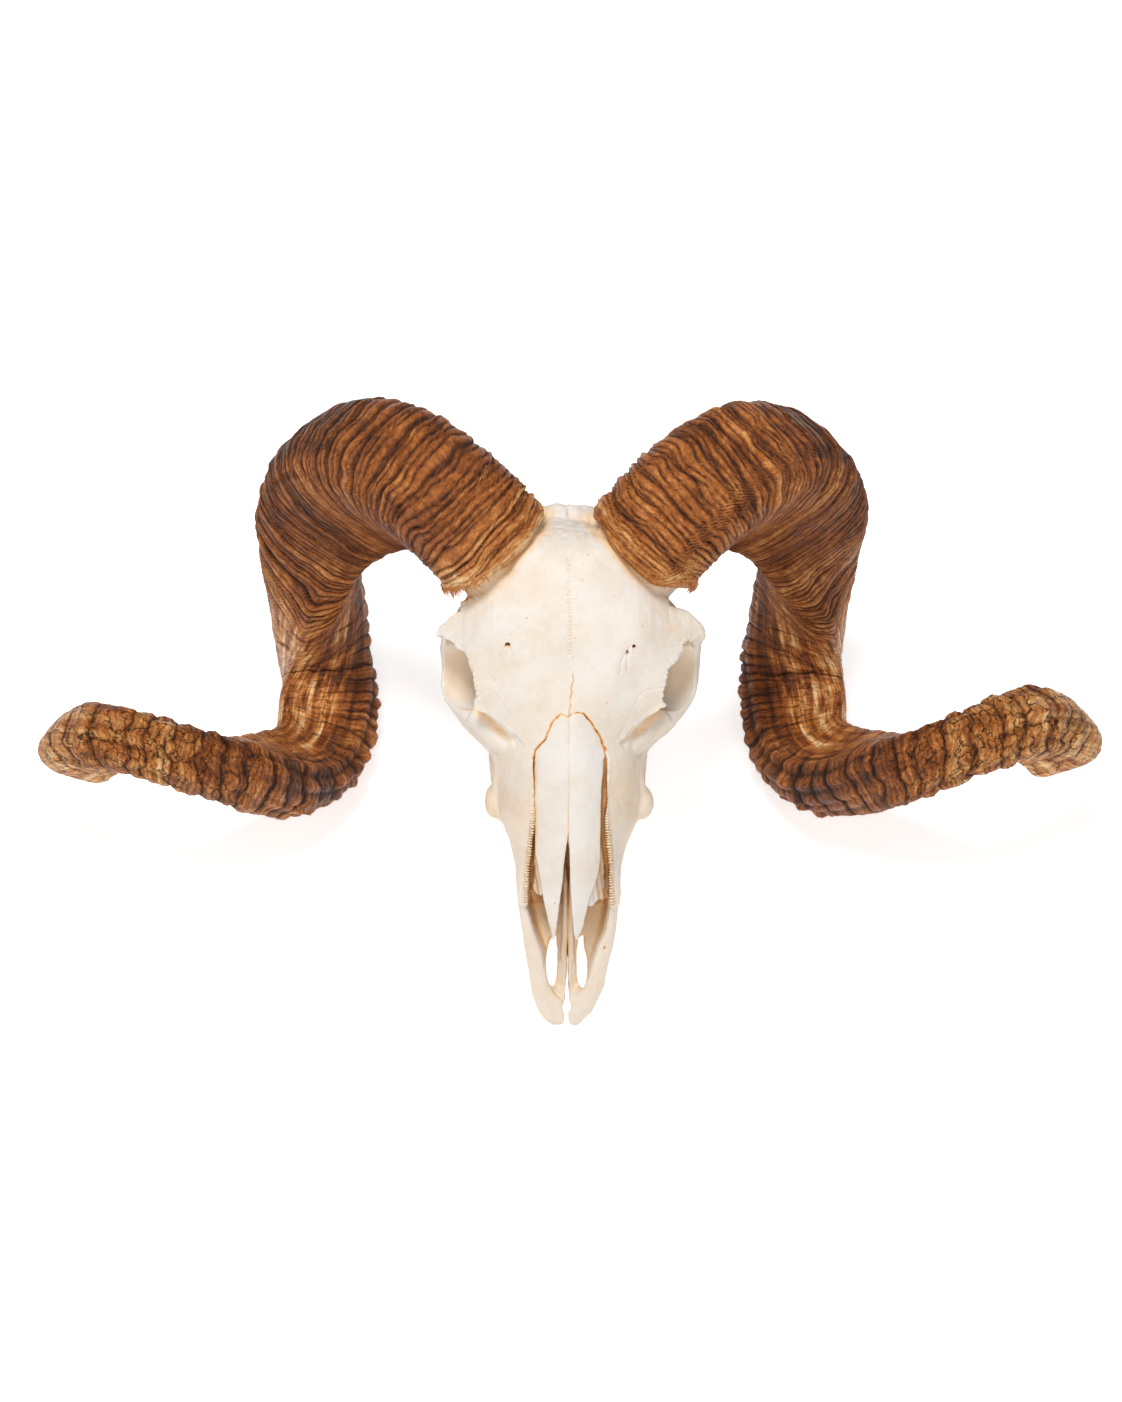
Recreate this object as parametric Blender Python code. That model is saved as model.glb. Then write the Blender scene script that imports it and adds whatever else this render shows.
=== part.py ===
"""A ram's skull with both horns, at its real size, lying on the tips of its muzzle and the
bottoms of its two horn curls.

Everything is drawn in the skull's own frame, in millimetres: u to the animal's left, v from the
muzzle to the back of the head, w up out of the face. One empty then tips the whole skull to the
slope at which it lies, and sets the middle of its footprint on the origin.
"""
import math

import bmesh
import bpy
import numpy as np
from mathutils import Matrix, Vector

MM = 0.001
GAP = 0.35                # clearance between pieces that touch
SEAT_GAP = 0.5            # between the horn and the bone that it sits on
FACE_SLOPE = 40.4         # degrees that the face rises from the floor
FLAT_DEPTH = 0.5          # how far each point of rest is worn flat
VOXEL = 1.7               # grid on which the bone's pieces are fused
SKULL_TRIANGLES = 5200
RIDGE_SEED = 11
SLIVER = 0.004            # points closer than this are one

# Horns. Each station: lateral distance from the midline, v, w, width of the ridged front face,
# depth from that face to the inner keel, and the direction that the front face looks.
HORN_LEFT = (
    (39, 39, -36, 63, 80, (-0.1, 0.1, 1.0)),
    (66, 66, -30, 66, 85, (-0.1, 0.3, 0.95)),
    (101, 83, -50, 63, 84, (0.1, 0.68, 0.72)),
    (129, 62, -105, 55, 71, (0.5, 0.6, -0.45)),
    (132, 28, -145, 53, 63, (-0.05, 0.4, -0.9)),
    (130, -10, -163, 58, 61, (-0.5, 0.0, -0.87)),
    (126, -48, -153, 56, 58, (-0.8, -0.4, -0.35)),
    (137, -73, -116, 46, 52, (-0.5, -0.85, 0.1)),
    (172, -73, -77, 38, 45, (0.0, -0.5, 0.85)),
    (213, -62, -57, 35, 40, (0.1, 0.3, 0.95)),
    (248, -52, -66, 39, 42, (0.5, 0.6, 0.6)),
    (270, -67, -98, 40, 50, (0.9, 0.3, 0.0)),
)
HORN_RIGHT = (
    (39, 39, -36, 63, 80, (-0.1, 0.1, 1.0)),
    (66, 66, -30, 66, 86, (-0.1, 0.3, 0.95)),
    (101, 84, -50, 63, 86, (0.1, 0.68, 0.72)),
    (136, 64, -105, 56, 72, (0.55, 0.6, -0.45)),
    (141, 28, -145, 52, 63, (0.2, 0.4, -0.87)),
    (140, -10, -164, 54, 60, (-0.25, 0.0, -0.97)),
    (136, -48, -155, 52, 56, (-0.7, -0.45, -0.5)),
    (144, -74, -119, 43, 50, (-0.5, -0.85, 0.1)),
    (173, -75, -78, 38, 44, (0.0, -0.5, 0.85)),
    (215, -66, -57, 33, 38, (0.1, 0.3, 0.95)),
    (254, -59, -66, 38, 42, (0.5, 0.6, 0.6)),
    (277, -71, -98, 40, 50, (0.9, 0.3, 0.0)),
)
# The horn's cross-section as shares of its width and depth: a rounded triangle, keel at the foot.
HORN_SECTION = (
    (0.0, 0.43), (0.30, 0.40), (0.47, 0.26), (0.46, 0.02), (0.28, -0.27), (0.09, -0.52),
    (-0.09, -0.52), (-0.28, -0.27), (-0.46, 0.02), (-0.47, 0.26), (-0.30, 0.40),
)
HORN_AROUND = 16
RIDGE_PITCH = 11.0        # from one coarse fold to the next
FOLD_HEIGHT = 1.1         # on the smoother first half
BEAD_HEIGHT = 2.3         # where the folds grow into beads on the lowest curl
TIP_START = 0.975         # where the blunt tip begins to round off, as a share of the length
PEDICLE_REACH = 12.0      # how far the bone core reaches into the horn

# Bone. Cross-sections of the head from the nape to the front of the palate: v, then the top of
# the midline, the crown's half width and height, the side's, the sole's, and the sole's midline.
HEAD = (
    (64, -42, (14, -46), (23, -62), (15, -84), -86),
    (60, -33, (18, -38), (29, -62), (20, -92), -94),
    (52, -14, (26, -19), (37, -58), (24, -94), -97),
    (32, 0, (34, -5), (41, -52), (24, -88), -92),
    (12, 2, (42, -2), (40, -45), (20, -80), -84),
    (-12, 0, (41, -4), (36, -40), (19, -76), -79),
    (-30, -3, (35, -7), (38, -40), (26, -78), -76),
    (-46, -5, (28, -11), (41, -40), (30, -83), -78),
    (-58, -4, (24, -11), (41, -42), (32, -83), -80),
    (-72, -3, (21, -9), (40, -45), (31, -80), -77),
    (-90, -5, (20, -10), (40, -48), (28, -75), -72),
    (-105, -8, (19, -13), (34, -45), (24, -69), -66),
    (-120, -12, (18, -17), (28, -43), (21, -62), -60),
    (-140, -19, (18, -22), (25.5, -40), (18, -54), -53),
)
# The edge of the brow over the eye, from the horn's root forwards.
BROW_EDGE = (
    (53, 24, -12), (59, 12, -13), (65, 4, -17), (71, -1, -21), (69, -7, -20), (58, -11, -13),
    (51.5, -20, -9), (49, -30, -10), (49.5, -39, -14), (41, -46, -17), (32, -54, -15),
)
BROW_THICK = 7.0
# The eye's rim: centre, half size along the head and across it, and the bar's thickness.
ORBIT_CENTRE = (57.7, -25, -31)
ORBIT_ALONG, ORBIT_ACROSS, ORBIT_LEAN = 23.0, 21.5, 8.5
ORBIT_BAR = 4.6
# The cheek's arch, from under the eye back to the ear.
CHEEK_ARCH = ((64, -14, -52), (61, 0, -58), (55, 13, -62), (46, 22, -65), (36, 26, -67))
TEETH = (8, 9, 9, 13, 16, 18)   # length of each cheek tooth, front to back
TEETH_FRONT = (20.5, -116, -62)  # where the first stands
TEETH_BACK = (31, -45, -84)      # and the last
CROWN = 9.0
SUTURE_V, SUTURE_LEAN = -47.0, 14.0  # where the face parts from the cranium

BONE = (0.86, 0.79, 0.68, 1.0)
HORN = (0.24, 0.115, 0.04, 1.0)


def clear_scene():
    for obj in list(bpy.data.objects):
        bpy.data.objects.remove(obj, do_unlink=True)


def spline(knots, values, at):
    """A natural cubic through rows of values, read at the given places."""
    knots, values = np.asarray(knots, float), np.asarray(values, float)
    n, h = len(knots), np.diff(knots)
    m, r = np.zeros((n, n)), np.zeros_like(values)
    m[0, 0] = m[-1, -1] = 1
    slope = np.diff(values, axis=0) / h[:, None]
    for i in range(1, n - 1):
        m[i, i - 1:i + 2] = h[i - 1], 2 * (h[i - 1] + h[i]), h[i]
        r[i] = 3 * (slope[i] - slope[i - 1])
    c = np.linalg.solve(m, r)
    k = np.clip(np.searchsorted(knots, at) - 1, 0, n - 2)
    t, hk = (at - knots[k])[:, None], h[k][:, None]
    b = slope[k] - hk * (2 * c[k] + c[k + 1]) / 3
    return values[k] + t * (b + t * (c[k] + t * (c[k + 1] - c[k]) / (3 * hk)))


def closed_curve(points, count):
    """Points evenly round a smooth loop through the given ones."""
    points = np.array(points, float)
    turn = np.arange(-3, len(points) + 4)
    return spline(turn, points[turn % len(points)], np.arange(count) * len(points) / count)


def open_curve(points, count):
    """Points evenly along a smooth line through the given ones."""
    points = np.array(points, float)
    steps = np.concatenate([[0], np.cumsum(np.linalg.norm(np.diff(points, axis=0), axis=1))])
    return spline(steps, points, np.linspace(0, steps[-1], count))


def mesh_object(name, points, faces):
    mesh = bpy.data.meshes.new(name)
    mesh.from_pydata([tuple(p) for p in np.asarray(points, float) * MM], [], faces)
    grid = bmesh.new()
    grid.from_mesh(mesh)
    bmesh.ops.recalc_face_normals(grid, faces=grid.faces)
    grid.to_mesh(mesh)
    grid.free()
    obj = bpy.data.objects.new(name, mesh)
    bpy.context.scene.collection.objects.link(obj)
    return obj


def loft(name, rings):
    """A closed skin over rings of equally many points."""
    rings = np.asarray(rings, float)
    count, around = rings.shape[:2]
    faces = [list(range(around))[::-1], list(range((count - 1) * around, count * around))]
    for i in range(count - 1):
        for j in range(around):
            a, b = i * around + j, i * around + (j + 1) % around
            faces.append([a, b, b + around, a + around])
    return mesh_object(name, rings.reshape(-1, 3), faces)


def bar(name, path, sizes, count=14, around=12, up=(0, 0, 1)):
    """A rod of oval section: sizes are its half width and half height at each path point."""
    line = open_curve(path, count)
    steps = np.arange(len(sizes))
    size = spline(steps, np.array(sizes, float), np.linspace(0, steps[-1], count))
    ahead = np.gradient(line, axis=0)
    ahead /= np.linalg.norm(ahead, axis=1)[:, None]
    side = np.cross(ahead, np.array(up, float))
    side /= np.linalg.norm(side, axis=1)[:, None]
    over = np.cross(side, ahead)
    turn = np.arange(around) * 2 * math.pi / around
    rings = [p + np.outer(np.cos(turn), s) * w + np.outer(np.sin(turn), o) * h
             for p, s, o, (w, h) in zip(line, side, over, size)]
    return loft(name, rings)


def ball(name, centre, radii, tilt=0.0):
    """An ellipsoid, turned by tilt degrees about the u axis."""
    grid = bmesh.new()
    bmesh.ops.create_uvsphere(grid, u_segments=20, v_segments=12, radius=1)
    shape = (Matrix.Translation(Vector(centre)) @ Matrix.Rotation(math.radians(tilt), 4, 'X')
             @ Matrix.Diagonal((*radii, 1)))
    bmesh.ops.transform(grid, matrix=Matrix.Scale(MM, 4) @ shape, verts=grid.verts)
    mesh = bpy.data.meshes.new(name)
    grid.to_mesh(mesh)
    grid.free()
    obj = bpy.data.objects.new(name, mesh)
    bpy.context.scene.collection.objects.link(obj)
    return obj


def both_sides(obj):
    """The piece and its mirror image across the midline."""
    grid = bmesh.new()
    grid.from_mesh(obj.data)
    bmesh.ops.transform(grid, matrix=Matrix.Diagonal((-1, 1, 1, 1)), verts=grid.verts)
    bmesh.ops.reverse_faces(grid, faces=grid.faces)
    mesh = bpy.data.meshes.new(obj.name + "_other")
    grid.to_mesh(mesh)
    grid.free()
    other = bpy.data.objects.new(mesh.name, mesh)
    bpy.context.scene.collection.objects.link(other)
    return [obj, other]


def bake(obj):
    """Applies the object's modifiers."""
    graph = bpy.context.evaluated_depsgraph_get()
    mesh = bpy.data.meshes.new_from_object(obj.evaluated_get(graph))
    obj.modifiers.clear()
    obj.data = mesh
    return obj


def joined(name, pieces):
    """One object with the meshes of all the pieces, which are then removed."""
    grid = bmesh.new()
    for piece in pieces:
        grid.from_mesh(piece.data)
        bpy.data.objects.remove(piece, do_unlink=True)
    mesh = bpy.data.meshes.new(name)
    grid.to_mesh(mesh)
    grid.free()
    obj = bpy.data.objects.new(name, mesh)
    bpy.context.scene.collection.objects.link(obj)
    return obj


def fused(name, pieces, voxel, smooth):
    """The pieces grown into one skin, with their joins softened."""
    obj = joined(name, pieces)
    remesh = obj.modifiers.new("fuse", 'REMESH')
    remesh.mode, remesh.voxel_size = 'VOXEL', voxel * MM
    soften = obj.modifiers.new("soften", 'SMOOTH')
    soften.factor, soften.iterations = 0.5, smooth
    return bake(obj)


def combine(obj, others, operation, solver='EXACT'):
    """One Boolean between the object and a collection of others, which are then removed."""
    group = bpy.data.collections.new(obj.name + "_others")
    bpy.context.scene.collection.children.link(group)
    for other in others:
        for held in list(other.users_collection):
            held.objects.unlink(other)
        group.objects.link(other)
    change = obj.modifiers.new("combine", 'BOOLEAN')
    change.operation, change.solver = operation, solver
    change.operand_type, change.collection = 'COLLECTION', group
    bpy.context.view_layer.update()
    bake(obj)
    for other in others:
        bpy.data.objects.remove(other, do_unlink=True)
    bpy.data.collections.remove(group)
    return obj


def islands(grid):
    """The faces of each closed surface in the mesh."""
    left, found = set(grid.faces), []
    while left:
        stack = [left.pop()]
        island = []
        while stack:
            face = stack.pop()
            island.append(face)
            for edge in face.edges:
                for near in edge.link_faces if len(edge.link_faces) == 2 else ():
                    if near in left:
                        left.remove(near)
                        stack.append(near)
        found.append(island)
    return sorted(found, key=len, reverse=True)


def keep_largest(obj):
    """Drops slivers and every closed surface but the largest."""
    grid = bmesh.new()
    grid.from_mesh(obj.data)
    bmesh.ops.triangulate(grid, faces=grid.faces)
    bmesh.ops.remove_doubles(grid, verts=grid.verts, dist=SLIVER * MM)
    bmesh.ops.dissolve_degenerate(grid, dist=SLIVER * MM, edges=grid.edges)
    bmesh.ops.triangulate(grid, faces=grid.faces)
    scraps = [face for island in islands(grid)[1:] for face in island]
    bmesh.ops.delete(grid, geom=scraps, context='FACES')
    grid.to_mesh(obj.data)
    grid.free()
    return obj


def parted(obj, names):
    """Splits the object's closed surfaces, largest first, into objects of the given names."""
    made = []
    for index, name in enumerate(names):
        grid = bmesh.new()
        grid.from_mesh(obj.data)
        others = [f for i, island in enumerate(islands(grid)) if i != index for f in island]
        bmesh.ops.delete(grid, geom=others, context='FACES')
        mesh = bpy.data.meshes.new(name)
        grid.to_mesh(mesh)
        grid.free()
        piece = bpy.data.objects.new(name, mesh)
        bpy.context.scene.collection.objects.link(piece)
        made.append(piece)
    bpy.data.objects.remove(obj, do_unlink=True)
    return made


def thinned(obj, triangles):
    """Fewer faces, at most this many triangles."""
    now = sum(len(face.vertices) - 2 for face in obj.data.polygons)
    thin = obj.modifiers.new("thin", 'DECIMATE')
    thin.ratio = min(1.0, triangles / now)
    return bake(obj)


def inflated(obj, amount):
    """A copy whose surface stands out by this amount."""
    copy = bpy.data.objects.new(obj.name + "_inflated", obj.data.copy())
    bpy.context.scene.collection.objects.link(copy)
    grow = copy.modifiers.new("grow", 'DISPLACE')
    grow.strength, grow.mid_level = amount * MM, 0
    return bake(copy)


def block(name, corner, opposite):
    """A box between two corners."""
    (a, b, c), (d, e, f) = corner, opposite
    points = [(x, y, z) for x in (a, d) for y in (b, e) for z in (c, f)]
    faces = [(0, 1, 3, 2), (4, 6, 7, 5), (0, 4, 5, 1), (2, 3, 7, 6), (0, 2, 6, 4), (1, 5, 7, 3)]
    return mesh_object(name, points, faces)


def horn_frames(stations, at):
    """Centre, tangent, front and side directions, width and depth at each place along the horn."""
    table = np.array([(*s[:5], *s[5]) for s in stations], float)
    steps = np.concatenate(
        [[0], np.cumsum(np.linalg.norm(np.diff(table[:, :3], axis=0), axis=1))])
    fine = np.linspace(0, steps[-1], 800)
    line = spline(steps, table[:, :3], fine)
    run = np.concatenate([[0], np.cumsum(np.linalg.norm(np.diff(line, axis=0), axis=1))])
    place = np.interp(at * run[-1], run, fine)
    rows = spline(steps, table, place)
    ahead = spline(steps, table[:, :3], place + 1) - spline(steps, table[:, :3], place - 1)
    ahead /= np.linalg.norm(ahead, axis=1)[:, None]
    front = rows[:, 5:] - (rows[:, 5:] * ahead).sum(1)[:, None] * ahead
    front /= np.linalg.norm(front, axis=1)[:, None]
    return rows[:, :3], ahead, front, np.cross(ahead, front), rows[:, 3], rows[:, 4], run[-1]


def horn_ring(frame, i, scale=1.0, swell=None):
    """One cross-section, with an optional outward swell in millimetres at each of its points."""
    centre, _, front, side, width, depth, _ = frame
    outline = closed_curve(HORN_SECTION, HORN_AROUND) * scale
    points = (centre[i] + np.outer(outline[:, 0] * width[i], side[i])
              + np.outer(outline[:, 1] * depth[i], front[i]))
    if swell is not None:
        out = points - centre[i]
        points = points + out / np.linalg.norm(out, axis=1)[:, None] * swell[:, None]
    return points


def horn(name, stations, mirror):
    """A solid horn: a crest and a trough for each coarse fold, and a blunt rounded tip."""
    rng = np.random.default_rng(RIDGE_SEED)
    length = horn_frames(stations, np.array([0.0]))[6]
    folds = int(length / RIDGE_PITCH)
    at = np.linspace(0, 1, 2 * folds + 1)
    at[1:-1] += rng.uniform(-0.12, 0.12, 2 * folds - 1) / (2 * folds)
    frame = horn_frames(stations, at)
    outline = closed_curve(HORN_SECTION, HORN_AROUND)
    ridged = np.clip((outline[:, 1] + 0.12) / 0.3, 0.12, 1)
    rings = []
    for i, s in enumerate(at):
        beads = math.exp(-((s - 0.62) / 0.16) ** 2)
        height = FOLD_HEIGHT + (BEAD_HEIGHT - FOLD_HEIGHT) * beads
        crest = height * (0.75 + 0.5 * rng.random()) * (i % 2)
        round_off = math.sqrt(max(0.0, 1 - max(0.0, (s - TIP_START) / (1.002 - TIP_START)) ** 2))
        rings.append(horn_ring(frame, i, max(0.3, round_off), crest * ridged * round_off))
    rings = np.array(rings)
    if mirror:
        rings[..., 0] *= -1
    return loft(name, rings)


def pedicle(name, stations, mirror):
    """The bone core's stump, from inside the skull to a little way up the horn."""
    length = horn_frames(stations, np.array([0.0]))[6]
    at = np.array([-30, -14, 0, PEDICLE_REACH * 0.6, PEDICLE_REACH]) / length
    frame = horn_frames(stations, np.maximum(at, 0))
    rings = []
    for i, s in enumerate(at):
        ring = horn_ring(frame, i, (0.92, 0.9, 0.82, 0.76, 0.62)[i])
        rings.append(ring + frame[1][i] * min(0.0, s) * length)
    rings = np.array(rings)
    if mirror:
        rings[..., 0] *= -1
    return loft(name, rings)


def head_loft():
    rings = []
    for v, top, crown, side, sole, floor in HEAD:
        half = [(0, top), crown, side, sole, (0, floor)]
        loop = half + [(-a, b) for a, b in half[3:0:-1]]
        rings.append([(a, v, b) for a, b in closed_curve(loop, 32)])
    rings = np.array(rings, float)
    steps = -rings[:, 0, 1]
    flat = spline(steps, rings.reshape(len(rings), -1), np.linspace(steps[0], steps[-1], 60))
    return loft("head", flat.reshape(60, 32, 3))


def brow():
    """The roof over one eye, from the forehead out to its edge."""
    edge = open_curve(BROW_EDGE, 24)
    root = edge * (0.25, 1, 0) + np.array((0, 0, -3))
    middle = edge * 0.6 + root * 0.4 + np.array((0, 0, 3.5))
    drop = np.array((0, 0, -BROW_THICK))
    rings = [[r, m, e, e + drop * 0.45, m + drop, r + 2 * drop]
             for r, m, e in zip(root, middle, edge)]
    return loft("brow", rings)


def orbit_rim():
    turn = np.arange(40) * 2 * math.pi / 40
    along = np.outer(np.cos(turn), (0.29, 1, 0)) * ORBIT_ALONG
    across = np.outer(np.sin(turn), (-ORBIT_LEAN, 1, ORBIT_ACROSS))
    line = np.array(ORBIT_CENTRE) + along + across
    rings = []
    for p, a in zip(line, turn):
        out = p - np.array(ORBIT_CENTRE)
        out /= np.linalg.norm(out)
        face = np.array((0.93, 0, 0.36))
        low = max(0.0, -math.sin(a))
        loop = np.arange(10) * 2 * math.pi / 10
        wide = ORBIT_BAR * (1 + 0.35 * low)
        rings.append(p + np.outer(np.cos(loop), out) * wide
                     + np.outer(np.sin(loop), face) * ORBIT_BAR * 0.75)
    rings = np.array(rings)
    count, around = rings.shape[:2]
    faces = [[i * around + j, i * around + (j + 1) % around,
              (i + 1) % count * around + (j + 1) % around, (i + 1) % count * around + j]
             for i in range(count) for j in range(around)]
    return mesh_object("orbit_rim", rings.reshape(-1, 3), faces)


def skull_pieces():
    """The closed shapes that grow together into the bone."""
    pieces = [head_loft()]
    pieces += both_sides(brow())
    pieces += both_sides(orbit_rim())
    pieces += both_sides(bar("arch", CHEEK_ARCH, [(4, 6), (3, 5.5), (3, 5), (4, 5), (6, 6)]))
    pieces += both_sides(bar("cheek", [(57, -34, -46), (48, -45, -48), (38, -56, -47),
                                       (37.5, -74, -47), (38.5, -92, -48)],
                             [(5, 7), (6, 8), (5, 8), (4, 6), (3, 4)]))
    pieces += both_sides(ball("orbit_bed", (44, -27, -43), (23, 23, 17)))
    pieces += both_sides(bar("lacrimal", [(49, -38, -16), (45, -50, -24), (40, -58, -32)],
                             [(5, 6), (7, 7), (6, 6)]))
    pieces += both_sides(ball("tuber", (39.5, -90, -50), (5.5, 8, 6)))
    pieces += both_sides(ball("condyle", (15, 60, -97), (9, 9, 12), 25))
    pieces += both_sides(bar("paracondylar", [(26, 50, -88), (26, 48, -105), (24, 44, -124)],
                             [(4, 7), (2.6, 5), (1.6, 2)], up=(0, 1, 0)))
    pieces += both_sides(ball("bulla", (17, 30, -100), (8, 12, 10)))
    pieces += both_sides(bar("ear", [(30, 30, -82), (41, 28, -79), (47, 27, -77)],
                             [(6, 6), (5, 5), (4.6, 4.6)], up=(0, 1, 0)))
    pieces += both_sides(bar("nuchal", [(0, 64, -36), (16, 62, -42), (28, 56, -54), (34, 48, -68)],
                             [(4, 4), (4, 4), (4, 4), (4, 4)]))
    pieces += both_sides(bar("pterygoid", [(14, 2, -82), (14, -18, -90), (15, -38, -88),
                                           (17, -50, -82)],
                             [(2, 7), (1.8, 10), (1.8, 9), (2, 5)]))
    pieces.append(bar("basilar", [(0, 58, -98), (0, 34, -97), (0, 6, -90), (0, -20, -80)],
                      [(11, 5), (10, 6), (8, 5), (7, 5)]))
    pieces += [pedicle("pedicle_left", HORN_LEFT, False),
               pedicle("pedicle_right", HORN_RIGHT, True)]
    return pieces


def skull_cutters():
    """The openings of the bone."""
    cutters = []
    cutters += both_sides(ball("socket", (64, -25, -31), (31, 18.5, 17)))
    cutters += both_sides(ball("temple", (60, 16, -40), (21, 17, 20)))
    cutters += both_sides(ball("cheek_hollow", (46, -66, -34), (9, 12, 8)))
    cutters.append(bar("foramen", [(0, 78, -88), (0, 62, -86), (0, 44, -82)],
                       [(11, 11), (10, 10), (9, 9)], up=(0, 0, 1)))
    cutters.append(bar("airway", [(0, -160, -36), (0, -138, -34), (0, -110, -30), (0, -84, -26),
                                  (0, -60, -22)],
                       [(22, 16), (21, 17), (19, 19), (17, 17), (12, 11)], around=20))
    cutters.append(bar("palate", [(0, -150, -62), (0, -118, -66), (0, -80, -78), (0, -50, -84),
                                  (0, -34, -88)],
                       [(12, 6), (14, 6), (20, 8), (22, 9), (13, 12)], around=20))
    cutters.append(bar("choana", [(0, -56, -80), (0, -34, -78), (0, -16, -84)],
                       [(11, 10), (11, 9), (10, 9)], around=16))
    cutters.append(bar("slot_left", [(20, -62, -8), (21, -84, -10), (21, -118, -16),
                                     (20.5, -144, -24)],
                       [(1.4, 12), (2.8, 12), (3.0, 12), (3.2, 12)], around=8))
    cutters.append(bar("slot_right", [(-19, -64, -8), (-18.5, -90, -10), (-19.4, -118, -16),
                                      (-19, -144, -24)],
                       [(1.0, 12), (1.0, 12), (2.6, 12), (3.2, 12)], around=8))
    cutters += both_sides(ball("supraorbital", (34, -8, 0), (2.2, 2.6, 6)))
    return cutters


def nasal(name, side):
    """One nasal bone: an arched plate that narrows to a free tip."""
    rows = ((-49, -3.8, 5, 1), (-58, -3.4, 12, 3), (-66, -3.2, 17.3, 5.5), (-90, -4.8, 17.6, 5.5),
            (-118, -10.5, 17, 5.5), (-130, -14.5, 15, 5), (-146, -20.5, 11, 4),
            (-161, -26.5, 7, 2.5))
    rings = []
    for v, top, wide, fall in rows:
        inner = 0.35 if v > -100 else 0.35 + (-100 - v) / 61 * 3.2
        across = np.linspace(inner, wide, 5)
        arch = top - fall * (across / wide) ** 2.2
        upper = [(side * a, v, w) for a, w in zip(across, arch)]
        lower = [(side * a, v, w - 2.4) for a, w in zip(across, arch)][::-1]
        rings.append(upper + lower)
    flat = np.array(rings, float).reshape(len(rows), -1)
    steps = -np.array([r[0] for r in rows], float)
    flat = spline(steps, flat, np.linspace(steps[0], steps[-1], 14))
    return loft(name, flat.reshape(14, 10, 3))


def premaxilla(name, side):
    """One half of the muzzle's end: a side bar, the tip, and a strip beside the midline."""
    outer = bar("outer", [(side * a, v, w) for a, v, w in (
        (23.5, -131, -31), (22, -148, -37), (18.4, -168, -45), (15.8, -184, -50),
        (11.6, -198, -53), (6.8, -206, -55))],
        [(2.2, 8), (4.2, 8), (5.2, 6), (5, 5), (5.2, 4.8), (3.6, 4)], count=12, around=10)
    tip = ball("tip", (side * 5.2, -201.5, -55), (5, 8.8, 4.8), 10)
    strip = bar("strip", [(side * a, v, w) for a, v, w in (
        (3.4, -200, -56), (3.4, -178, -55), (3.2, -158, -53), (3.2, -134, -50.5))],
        [(2.6, 3), (1.8, 2.2), (1.7, 1.8), (1.5, 1.6)], count=8, around=8)
    return combine(joined(name, [outer]), [tip, strip], 'UNION')


def teeth():
    """The cheek teeth of one side, each a tapering block rooted in the jaw."""
    front, back = np.array(TEETH_FRONT, float), np.array(TEETH_BACK, float)
    total, gone, made = sum(TEETH), 0.0, []
    for size in TEETH:
        middle = front + (back - front) * (gone + size / 2) / total
        gone += size
        half, broad = size / 2 - 0.5, 3.6 + size * 0.22
        rings = []
        for drop, share in ((-9, 0.8), (0, 0.95), (CROWN * 0.7, 1.0), (CROWN, 0.8)):
            u, v, w = middle + np.array((0, 0, -drop))
            reach = half * share, broad * share
            rings.append([(u + reach[1], v - reach[0], w), (u + reach[1], v + reach[0], w),
                          (u - reach[1], v + reach[0], w), (u - reach[1], v - reach[0], w)])
        made.append(loft("tooth", rings))
    return made


def finish(obj, colour, roughness):
    material = bpy.data.materials.new(obj.name)
    material.use_nodes = True
    shader = material.node_tree.nodes["Principled BSDF"]
    shader.inputs["Base Color"].default_value = colour
    shader.inputs["Roughness"].default_value = roughness
    shader.inputs["Metallic"].default_value = 0.0
    obj.data.materials.clear()
    obj.data.materials.append(material)
    obj.data.shade_smooth()
    obj.data.set_sharp_from_angle(angle=math.radians(38))


def world_points(objects):
    found = [np.array([obj.matrix_world @ vert.co for vert in obj.data.vertices])
             for obj in objects]
    return np.concatenate(found)


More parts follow.
